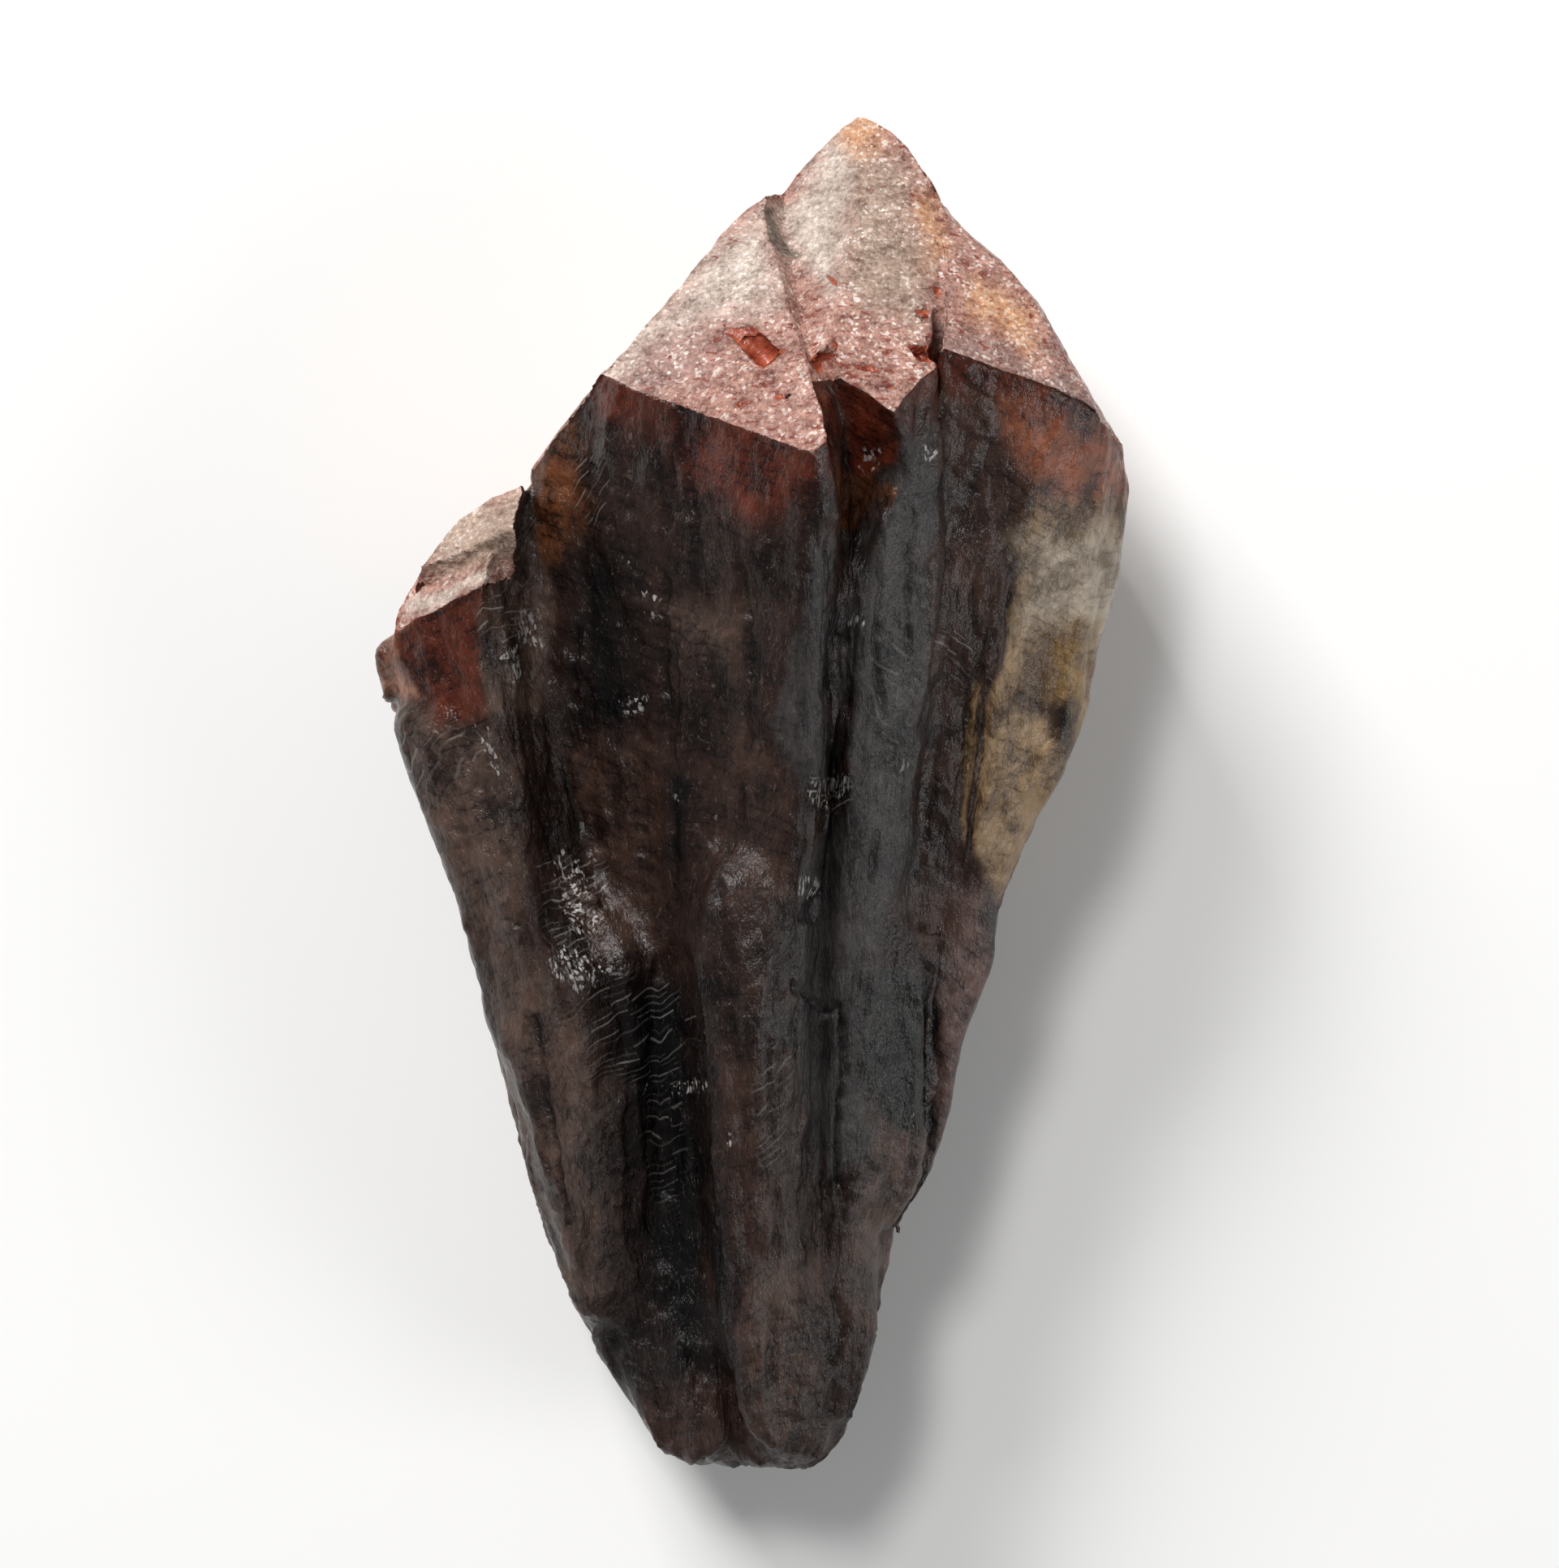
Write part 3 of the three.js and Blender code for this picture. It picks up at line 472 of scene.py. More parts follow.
def filling(rim_points, bits, edges, normal, gap, first):
    """Fills one flat face: new points inside its rim, numbered from first, and triangles between them and
    the rim. A triangle without area is kept only where a bit of the rim has no other."""
    side = unit(np.cross(normal, (0, 1, 0) if abs(normal[1]) < 0.9 else (1, 0, 0)))
    axes = np.stack([side, np.cross(normal, side)], axis=1)
    used, local = np.unique(bits, return_inverse=True)
    local = local.reshape(-1, 2)
    rim = rim_points[used] @ axes
    starts, stops = edges[:, 0] @ axes, edges[:, 1] @ axes
    spots = rows_inside(starts, stops, gap)
    every = np.vstack([rim, spots])
    made = delaunay_2d_cdt(every.tolist(), local.tolist(), [], 0, 1e-7)
    source = np.array([origin[0] if origin else -1 for origin in made[3]])
    triangles = source[np.array([cell for cell in made[2] if len(cell) == 3])]
    triangles = triangles[(triangles >= 0).all(axis=1)]
    a, b, c = (every[triangles[:, k]] for k in range(3))
    area = (b - a)[:, 0] * (c - a)[:, 1] - (b - a)[:, 1] * (c - a)[:, 0]
    flipped = area < 0
    triangles[flipped] = triangles[flipped][:, ::-1]
    flat = np.abs(area) <= NO_AREA
    firm = ~flat & inside((a + b + c) / 3.0, starts, stops)
    keys = edge_keys(triangles, len(every))
    rim_keys = local.min(axis=1) * len(every) + local.max(axis=1)
    bare = np.setdiff1d(rim_keys, keys[firm])
    triangles = triangles[firm | (flat & np.isin(keys, bare).any(axis=1))]
    height = (rim_points[used] @ normal).mean()
    numbers = np.concatenate([used, first + np.arange(len(spots))])
    return spots @ axes.T + height * normal, numbers[triangles]


def net(points, faces):
    """Lays a net of near equal triangles into every flat face. Neighbouring faces share the points of
    their edge, so the surface stays closed. Also gives the normal of the flat face of each triangle."""
    label, number, ends = flat_faces(points, faces)
    long_normals = normals_of(points, faces)
    normals = unit(np.stack([np.bincount(label, long_normals[:, i]) for i in range(3)], axis=1))
    step = np.where(normals[:, 2] > FRONT_FACING, FRONT_STEP, REAR_STEP)
    beside = label[np.argsort(number.ravel(), kind="stable") // 3].reshape(-1, 2)
    rim = beside[:, 0] != beside[:, 1]
    ends, beside = ends[rim], beside[rim]
    rim_points, edge, bits = divided(points, ends, step[beside].min(axis=1))
    every, triangles, owners = [rim_points], [], []
    count = len(rim_points)
    for face, normal in enumerate(normals):
        mine = (beside == face).any(axis=1)
        spots, made = filling(rim_points, bits[mine[edge]], points[ends[mine]], normal, step[face], count)
        count += len(spots)
        every.append(spots)
        triangles.append(made)
        owners.append(np.full(len(made), face))
    net_points, net_faces = compact(np.vstack(every), np.vstack(triangles))
    return net_points, net_faces, normals[np.concatenate(owners)]


def compact(points, faces):
    """Leaves out the points that no face uses."""
    used, number = np.unique(faces, return_inverse=True)
    return points[used], number.reshape(faces.shape)


def softened(points, faces, share, rounds):
    """Rounds edges off: in each round a point goes halfway to the middle of its neighbours, by its share."""
    ends = edges_of(faces, len(points))[1]
    here = np.concatenate([ends[:, 0], ends[:, 1]])
    there = np.concatenate([ends[:, 1], ends[:, 0]])
    neighbours = np.bincount(here, minlength=len(points))[:, None]
    for _ in range(rounds):
        sums = [np.bincount(here, points[there, i], len(points)) for i in range(3)]
        points = points + 0.5 * share[:, None] * (np.stack(sums, axis=1) / neighbours - points)
    return points


def fitted(points):
    """Moves points sideways so that the outline from above follows OUTLINE: the gap between the wanted and
    the present rim, evened out along the stone, is felt fully at the rim and less and less inwards."""
    lengths = np.arange(points[:, 1].min(), points[:, 1].max() + OUTLINE_STEP, OUTLINE_STEP)
    row = np.round((points[:, 1] - lengths[0]) / OUTLINE_STEP).astype(int)
    moved = points.copy()
    for side, path in OUTLINE.items():
        reach = side * points[:, 0]
        rim = np.full(len(lengths), -FAR)
        np.maximum.at(rim, row, reach)
        wanted = side * np.interp(lengths, *np.array(path).T)
        gap = np.clip(wanted - rim, *OUTLINE_MOVES)
        gap = np.convolve(np.pad(gap, 1, mode="edge"), (0.25, 0.5, 0.25), mode="valid")
        inwards = np.interp(points[:, 1], lengths, rim) - reach
        share = 1.0 - smoothstep(0.0, OUTLINE_WIDTH, inwards)
        reach = reach + share * np.interp(points[:, 1], lengths, gap)
        limit = np.interp(points[:, 1], lengths, wanted) + OUTLINE_SLACK
        moved[:, 0] = np.where(share > 0.0, side * np.minimum(reach, limit), moved[:, 0])
    return moved


def fanned(points):
    """Coordinates that follow the columns: across, along and through, straight where columns converge."""
    spread = FAN_POINT[1] / (FAN_POINT[1] - points[:, 1])
    across = (points[:, 0] - FAN_POINT[0]) * spread
    through = (points[:, 2] - FAN_MIDDLE_HEIGHT) * spread
    return np.stack([across, points[:, 1], through], axis=1)


def tooth_of(points):
    """The number of the tooth in LAYERS that each point belongs to, by the borders there."""
    tooth = np.zeros(len(points), int)
    for number, (_, _, border) in enumerate(LAYERS):
        if border:
            x, y = np.array(border).T
            tooth[points[:, 0] > np.interp(points[:, 1], y, x)] = number
    return tooth


def layer_height(points, tooth):
    """How far along its tooth's cap normal each point lies: equal on one growth layer."""
    normals = unit(np.array([normal for _, normal, _ in LAYERS]))
    return np.einsum("ij,ij->i", points, normals[tooth])


def cap_normal(slope_x, slope_y):
    return unit(np.array([-slope_x, -slope_y, 1.0]))


def depth_under_cap(points):
    """How deep each point lies under the nearest cap plane of its own tooth."""
    tooth = tooth_of(points)
    depth = np.full(len(points), 99.0)
    for number, corner, slope_x, slope_y in CAPS:
        under = (np.array(corner) - points) @ cap_normal(slope_x, slope_y)
        depth = np.where(tooth == number, np.minimum(depth, under), depth)
    return depth


def on_caps(middle, normals):
    """1 for triangles of a cap face, 0 for others: those near a cap's plane and alike to it, those of a
    frosted wall or of a window, and on the back those near the tips that look towards them."""
    found = (normals[:, 2] < 0.15) & (normals[:, 1] > 0.3) & (middle[:, 1] > 12.0)
    found |= (distance_to_any(middle, FROSTED_WALLS + WINDOWS) < 0.0) & (normals[:, 2] > WALL_FACING)
    for _, corner, slope_x, slope_y in CAPS:
        normal = cap_normal(slope_x, slope_y)
        found |= (np.abs((middle - corner) @ normal) < CAP_SUNK) & (normals @ normal > CAP_ALIKE)
    return found.astype(float)


def shards(grain, size, seed, rise, tilt):
    """Long many-sided shards, one for each cell of stretched space: each has its own rise and its own
    slope across the column, and falls away towards its neighbours."""
    offset, owner, gap = cells(grain / size, seed)
    height = rise * (scatter(owner, seed + 5) - 0.5)
    slope = tilt * (scatter(owner, seed + 6) - 0.5) * offset[:, 0] * size[0]
    return (height + slope) * smoothstep(0.0, 0.22, gap), owner


def flank_relief(points):
    """Rise of a flank over its plane: low shards in two sizes, soft swellings, combs of growth steps on
    some shards, and ledges here and there."""
    bent = points + 0.4 * drift(points / 3.0, 11, 2, 3)
    grain = fanned(bent)
    broad, owner = shards(grain, (3.4, 15.0, 3.4), 21, 0.55, 0.35)
    narrow, small_owner = shards(grain, (1.3, 5.0, 1.3), 31, 0.22, 0.35)
    swellings = fractal(points / (1.6, 2.2, 1.6), 41, 3)
    height = layer_height(bent, tooth_of(points))
    comb = saw(height / (0.7 + 0.6 * scatter(owner, 52)), 0.25)
    combs = (scatter(small_owner, 51) < 0.2) * comb
    ledges = terraces(height / 3.0 + 0.5 * noise(grain / (3.0, 6.0, 3.0), 61), 2, 0.12) - height / 3.0
    ledge_patch = smoothstep(0.1, 0.4, noise(grain / (3.0, 9.0, 3.0), 62))
    return 0.9 * broad + 0.5 * narrow + 0.14 * swellings + 0.1 * combs + 0.2 * ledges * ledge_patch


def cracks(points):
    """How deep the cracks are at each point, and how far the nearest one is: furrows along bent lines that
    fade here and there, and stay out of the back."""
    bent = points[:, :2] + 0.35 * drift(points / 2.0, 141, 3, 2)
    depth = np.zeros(len(points))
    nearest = np.full(len(points), FAR)
    for width, most, path in CRACKS:
        line = np.array(path)
        away = clearance(bent, line[:-1], line[1:])
        depth = np.maximum(depth, most * (1.0 - smoothstep(0.2 * width, width, away)))
        nearest = np.minimum(nearest, away)
    shown = smoothstep(-0.6, 0.2, noise(points / 3.0, 145)) * (points[:, 2] > FAN_MIDDLE_HEIGHT)
    return depth * shown, np.where(shown > 0.3, nearest, FAR)


def cap_relief(points, window):
    """Rise of a cap face over its plane: low plates, a granular frosting, and the sunken windows."""
    plates = terraces(fractal(points / 3.2, 71, 3), 4, 0.25)
    grains = fractal(points / 0.9, 81, 2)
    sunk = 1.0 - smoothstep(-0.12, 0.05, window)
    return (0.14 * plates + 0.06 * grains) * (1.0 - sunk) - WINDOW_DEPTH * sunk


def outline_distance(spots, corners):
    """How far each spot of the plan lies outside a closed outline, below zero inside it."""
    starts = np.array(corners)
    stops = np.roll(starts, -1, axis=0)
    return clearance(spots, starts, stops) * np.where(inside(spots, starts, stops), -1.0, 1.0)


def distance_to_any(points, outlines):
    """How far each point lies from the nearest of some outlines of the plan, below zero inside one."""
    return np.min([outline_distance(points[:, :2], corners) for corners in outlines], axis=0)


def below_front(points):
    """How far each point lies below the middle height of the columns, 0 above it."""
    return np.maximum(0.0, FAN_MIDDLE_HEIGHT - points[:, 2])


def comb_patches(points):
    """How strongly fine growth steps show at each point, and where it lies in its patch: millimetres along
    the steps, how many steps across, and 0."""
    spots = points[:, :2] + 0.08 * drift(points / 2.5, 161, 2, 2)
    share = np.zeros(len(points))
    place = np.zeros((len(points), 3))
    for middle, half, angle, spacing, strength in COMBS:
        away = spots - middle
        reach = np.linalg.norm(away / half, axis=1) + 0.45 * fractal(points / 0.9, 171, 3)
        reach += below_front(points)
        mine = strength * (1.0 - smoothstep(0.6, 1.05, reach))
        turn = math.radians(angle)
        along = away @ (math.cos(turn), math.sin(turn))
        across = away @ (-math.sin(turn), math.cos(turn)) / spacing + 1.2 * fractal(points / 1.8, 175, 2)
        place = np.where((mine > share)[:, None], np.stack([along, across, 0 * along], axis=1), place)
        share = np.maximum(share, mine)
    return share, place


def mixed(base, other, share):
    return base + (other - base) * share[:, None]


def values_of(dark, light, *rest):
    """The numbers of one kind in a row: both tones in linear light, then the rest."""
    return np.array(linear(dark)[:3] + linear(light)[:3] + list(rest))


def painted(points, kinds, first, zones, seed, reach):
    """For each point the values of its kind: the first kind, covered by the zones in turn. Their borders
    are bent by noise that is drawn out along the columns, and bent more and lean towards the tip further
    down the sides."""
    down = 1.0 - smoothstep(0.0, 12.0, points[:, 2])
    spots = points[:, :2] + reach * drift(fanned(points) / (1.6, 3.4, 1.6), seed, 4, 2)
    spots = spots + down[:, None] * (3.0 * drift(points / 4.0, seed + 20, 3, 2) + (0.0, 3.0))
    values = np.repeat(values_of(*kinds[first])[None], len(points), axis=0)
    for kind, soft, corners in zones:
        share = 1.0 - smoothstep(-soft, soft, outline_distance(spots, corners))
        values = mixed(values, values_of(*kinds[kind]), share)
    return values


def body_values(points):
    """The kind of quartz at each point, with rust-red inclusions under the caps."""
    values = painted(points, KINDS, "smoky", ZONES, 101, 0.9)
    reach = np.array(RUST_REACH)[tooth_of(points)]
    under = depth_under_cap(points) + 1.2 * fractal(points / 2.4, 121, 3)
    share = (1.0 - smoothstep(0.1 * reach, reach, under)) * smoothstep(-0.9, 0.0, fractal(points / 3.0, 131, 2))
    return mixed(values, values_of(*KINDS["rust"]), 0.85 * share)


def store(mesh, name, values, domain="POINT"):
    """Keeps one number, or one vector, for each point or corner of the mesh."""
    kind = "FLOAT" if values.ndim == 1 else "FLOAT_VECTOR"
    attribute = mesh.attributes.new(name, kind, domain)
    attribute.data.foreach_set("value" if kind == "FLOAT" else "vector", values.astype(np.float32).ravel())


def make_piece(name, points, faces):
    """A mesh object of these points and triangles, in metres."""
    mesh = bpy.data.meshes.new(name)
    mesh.vertices.add(len(points))
    mesh.vertices.foreach_set("co", (points * MM).ravel())
    mesh.loops.add(faces.size)
    mesh.loops.foreach_set("vertex_index", faces.ravel())
    mesh.polygons.add(len(faces))
    mesh.polygons.foreach_set("loop_start", np.arange(0, faces.size, 3))
    mesh.update(calc_edges=True)
    mesh.validate()
    mesh.shade_smooth()
    piece = bpy.data.objects.new(name, mesh)
    bpy.context.scene.collection.objects.link(piece)
    return piece


def make_crystal(solid):
    """The finished surface: the net over the solid, its flanks' edges rounded, moved along its normals by
    the relief, with the kind of quartz and of frosting kept at each point."""
    plane, faces, flat = net(*merged(solid))
    low, high = plane.min(axis=0), plane.max(axis=0)
    cap_face = on_caps(plane[faces].mean(axis=1), flat)
    area = np.linalg.norm(normals_of(plane, faces), axis=1)
    cap = gathered(cap_face * area, faces, len(plane)) / gathered(area, faces, len(plane))
    round_off = smoothstep(0.1, 1.6, depth_under_cap(plane)) * (1.0 - cap) * (plane[:, 2] > 0.01)
    front = smoothstep(FAN_MIDDLE_HEIGHT - 2.0, FAN_MIDDLE_HEIGHT, plane[:, 2])
    fills = [share * (1.0 - smoothstep(-0.9, 0.3, distance_to_any(plane, [spot]))) for share, spot in GROWN_TOGETHER]
    together = front * np.max(fills, axis=0)
    smooth = softened(plane, faces, round_off, 24)
    smooth = softened(smooth, faces, round_off * together, 160)
    smooth += 0.08 * drift(plane / 1.1, 5, 2, 3)
    normals = unit(gathered(normals_of(smooth, faces), faces, len(plane)))
    body = body_values(plane)
    window = distance_to_any(plane, WINDOWS)
    crack_depth, crack = cracks(plane)
    relief = (1 - cap) * (body[:, 8] * flank_relief(plane) - crack_depth) + cap * cap_relief(plane, window)
    points = np.clip(fitted(smooth + normals * (relief - 0.1)[:, None]), low, high)
    frost = painted(plane, FROSTS, "pink", FROST_ZONES, 151, 0.8)
    comb, comb_place = comb_patches(plane)

    piece = make_piece("amethyst_crystal", points, faces)
    mesh = piece.data
    store(mesh, "dark", body[:, :3])
    store(mesh, "light", body[:, 3:6])
    store(mesh, "clear", body[:, 6])
    store(mesh, "rough", body[:, 7])
    store(mesh, "frost_dark", frost[:, :3])
    store(mesh, "frost_light", frost[:, 3:6])
    store(mesh, "speckled", frost[:, 6])
    store(mesh, "crack", crack)
    store(mesh, "rise", relief)
    store(mesh, "window", window)
    store(mesh, "comb", comb)
    store(mesh, "comb_place", comb_place)
    # The distance to the spots of painted glints, which is also where the chips lean more
    store(mesh, "glint_and_chip_spots", distance_to_any(plane, PAINTED_GLINT_SPOTS) + below_front(plane))
    store(mesh, "grain", fanned(plane))
    store(mesh, "layer", layer_height(plane, tooth_of(plane)))
    store(mesh, "cap", np.repeat(cap_face, 3), "CORNER")
    return piece


def linear(code, alpha=1.0):
    """A colour given as an sRGB hex value, in linear light."""
    parts = [int(code[i : i + 2], 16) / 255 for i in (0, 2, 4)]
    return [p / 12.92 if p <= 0.04045 else ((p + 0.055) / 1.055) ** 2.4 for p in parts] + [alpha]


def add(tree, kind, inputs=(), out=0, **settings):
    """Adds a node with its settings, and gives its output of that number or name. An input is a value or
    another node's output, and they are listed in the node's order or by number or name."""
    made = tree.nodes.new("ShaderNode" + kind)
    for name, value in settings.items():
        setattr(made, name, value)
    for name, value in inputs.items() if isinstance(inputs, dict) else enumerate(inputs):
        if isinstance(value, bpy.types.NodeSocket):
            tree.links.new(value, made.inputs[name])
        else:
            made.inputs[name].default_value = value
    return made.outputs[out]


def tilted_grains(tree, space, scale):
    """Small flat grains, each tilted its own way. Their height is the offset from the grain's middle times
    a random direction. Also gives a random colour for each grain."""
    grains = add(tree, "TexVoronoi", {"Vector": space, "Scale": scale}, "Color")
    middle = grains.node.outputs["Position"]
    offset = add(tree, "VectorMath", (space, middle), operation="SUBTRACT")
    lean = add(tree, "VectorMath", (grains, (0.5, 0.5, 0.5)), operation="SUBTRACT")
    return add(tree, "VectorMath", (offset, lean), "Value", operation="DOT_PRODUCT"), grains


def comb_glint_bars(tree):
    """The treads of the combs as light bars, painted glints on the treads, and their height. Each row of a
    comb is cut into bars about 1 mm long, shifted by a random number for the row, and each of them has
    its own brightness."""
    comb = add(tree, "Attribute", (), "Fac", attribute_name="comb")
    place = add(tree, "Attribute", (), "Vector", attribute_name="comb_place")
    parts = add(tree, "SeparateXYZ", (place,)).node.outputs
    row = add(tree, "Math", (parts["Y"],), operation="FLOOR")
    shift = add(tree, "TexWhiteNoise", {"W": row}, noise_dimensions="1D")
    along = add(tree, "Math", (shift, 4.0, parts["X"]), operation="MULTIPLY_ADD")
    along = add(tree, "Math", (along,), operation="FLOOR")
    glint_bar = add(tree, "CombineXYZ", (along, row, 0.0))
    bright = add(tree, "TexWhiteNoise", {"Vector": glint_bar}, noise_dimensions="2D")
    bright = add(tree, "MapRange", (bright, 0.4, 0.95, 0.0, 0.45))
    rise = add(tree, "Math", (parts["Y"],), operation="FRACT")
    tread = add(tree, "MapRange", (rise, 0.66, 0.8, 0.0, 1.0))
    # Painted highlight on each tread
    glint_bar = add(tree, "Math", (tread, bright), operation="MULTIPLY")
    glint_bar = add(tree, "Math", (glint_bar, comb), operation="MULTIPLY")
    return glint_bar, add(tree, "Math", (rise, comb), operation="MULTIPLY")


def flank_finish(tree, mm, grain):
    """Colour, roughness and height in mm of the flanks: glassy quartz in soft clouds, fine flecks and
    slivers that follow the columns, crossed by growth lines and hairline veils, with combs of growth
    steps and chips. Painted light is mixed into the colour: the tone is lighter where the relief stands
    high and darker where it lies low, hollows go near black as painted shade, and chips and comb treads
    get painted glints of light grey. Real flecks are a little finer than those drawn."""
    long_grain = add(tree, "VectorMath", (grain, (1.0, 0.45, 1.0)), operation="MULTIPLY")
    clouds = add(tree, "TexNoise", {"Vector": mm, "Scale": 0.4, "Detail": 3.0, "Roughness": 0.6})
    streaks = add(tree, "TexNoise", {"Vector": long_grain, "Scale": 1.3, "Detail": 3.0, "Roughness": 0.65})
    fleck_space = add(tree, "VectorMath", (grain, (3.4, 1.9, 3.4)), operation="MULTIPLY")
    flecks = add(tree, "TexNoise", {"Vector": fleck_space, "Scale": 1.0, "Detail": 3.0, "Roughness": 0.75})
    sliver_height, slivers = tilted_grains(tree, long_grain, 1.1)
    chip_height, chips = tilted_grains(tree, fleck_space, 1.9)
    clear = add(tree, "Attribute", (), "Fac", attribute_name="clear")
    rise = add(tree, "Attribute", (), "Fac", attribute_name="rise")

    veiling = add(tree, "MapRange", (clear, 0.0, 0.4, 0.1, 0.4))
    tone = add(tree, "Math", (clouds, 2.0, slivers), operation="MULTIPLY_ADD")
    tone = add(tree, "Math", (tone, 1.5), operation="SUBTRACT")
    tone = add(tree, "Math", (tone, veiling, clouds), operation="MULTIPLY_ADD")
    tone = add(tree, "Math", (streaks, 0.35, tone), operation="MULTIPLY_ADD")
    tone = add(tree, "Math", (flecks, 0.8, tone), operation="MULTIPLY_ADD")
    tone = add(tree, "MapRange", (tone, 0.81, 1.35, 0.0, 1.0))
    # Painted light and shade: the tone is raised where the relief stands high and lowered where it lies low
    painted_relief_light = add(tree, "MapRange", (rise, -0.4, 0.4, -0.14, 0.2))
    tone = add(tree, "Math", (tone, painted_relief_light), operation="ADD")
    layer = add(tree, "Attribute", (), "Fac", attribute_name="layer")
    layer = add(tree, "Math", (layer, 2.2, streaks), operation="MULTIPLY_ADD")
    layer = add(tree, "Math", (layer,), operation="FRACT")
    line = add(tree, "MapRange", (layer, 0.0, 0.25, 0.4, 0.0))
    lines = add(tree, "MapRange", (clouds, 0.5, 0.56, 1.0, 0.0))
    line = add(tree, "Math", (line, lines), operation="MULTIPLY")
    tone = add(tree, "Math", (tone, line), operation="SUBTRACT")

    away = add(tree, "Math", (streaks, 0.5), operation="SUBTRACT")
    away = add(tree, "Math", (away,), operation="ABSOLUTE")
    vein = add(tree, "MapRange", (away, 0.0, 0.008, 0.35, 0.0))
    veins = add(tree, "MapRange", (flecks, 0.48, 0.6, 0.0, 1.0))
    vein = add(tree, "Math", (vein, veins), operation="MULTIPLY")

    dark = add(tree, "Attribute", (), "Vector", attribute_name="dark")
    light = add(tree, "Attribute", (), "Vector", attribute_name="light")
    colour = add(tree, "Mix", {0: tone, 6: dark, 7: light}, 2, data_type="RGBA")
    colour = add(tree, "Mix", {0: vein, 6: colour, 7: linear("8c7f78")}, 2, data_type="RGBA")
    crack = add(tree, "Attribute", (), "Fac", attribute_name="crack")
    crack = add(tree, "Math", (streaks, 0.3, crack), operation="MULTIPLY_ADD")
    crack = add(tree, "MapRange", (crack, 0.17, 0.25, 0.7, 0.0))
    # Painted shade: the colour goes towards near black where the relief lies low, joined with the cracks, which are
    # dark seams
    seam_and_hollow_shade = add(tree, "MapRange", (rise, -0.55, -0.3, 0.5, 0.0))
    seam_and_hollow_shade = add(tree, "Math", (seam_and_hollow_shade, crack), operation="MAXIMUM")
    colour = add(tree, "Mix", {0: seam_and_hollow_shade, 6: colour, 7: linear("060403")}, 2, data_type="RGBA")
    glint_bar, comb_height = comb_glint_bars(tree)
    # Painted glints: chips, many in the glint spots and few elsewhere, and the comb treads are mixed towards light grey
    # that stands for their highlights, and their roughness drops
    glint_and_chip_spots = add(tree, "Attribute", (), "Fac", attribute_name="glint_and_chip_spots")
    least = add(tree, "MapRange", (glint_and_chip_spots, -0.05, 0.3, 0.62, 0.96))
    over = add(tree, "Math", (chips, least), operation="SUBTRACT")
    painted_glint = add(tree, "MapRange", (over, 0.0, 0.16, 0.0, 0.7))
    painted_glint = add(tree, "Math", (painted_glint, glint_bar), operation="MAXIMUM")
    colour = add(tree, "Mix", {0: painted_glint, 6: colour, 7: linear("c4beb9")}, 2, data_type="RGBA")

    rough = add(tree, "Attribute", (), "Fac", attribute_name="rough")
    rough = add(tree, "Math", (painted_glint, -0.12, rough), operation="MULTIPLY_ADD")

    lean = add(tree, "MapRange", (glint_and_chip_spots, 0.0, 0.6, 0.2, 0.03))
    height = add(tree, "Math", (chip_height, lean), operation="MULTIPLY")
    height = add(tree, "Math", (sliver_height, 0.2, height), operation="MULTIPLY_ADD")
    height = add(tree, "Math", (streaks, 0.12, height), operation="MULTIPLY_ADD")
    height = add(tree, "Math", (flecks, 0.10, height), operation="MULTIPLY_ADD")
    height = add(tree, "Math", (comb_height, 0.12, height), operation="MULTIPLY_ADD")
    return colour, rough, height


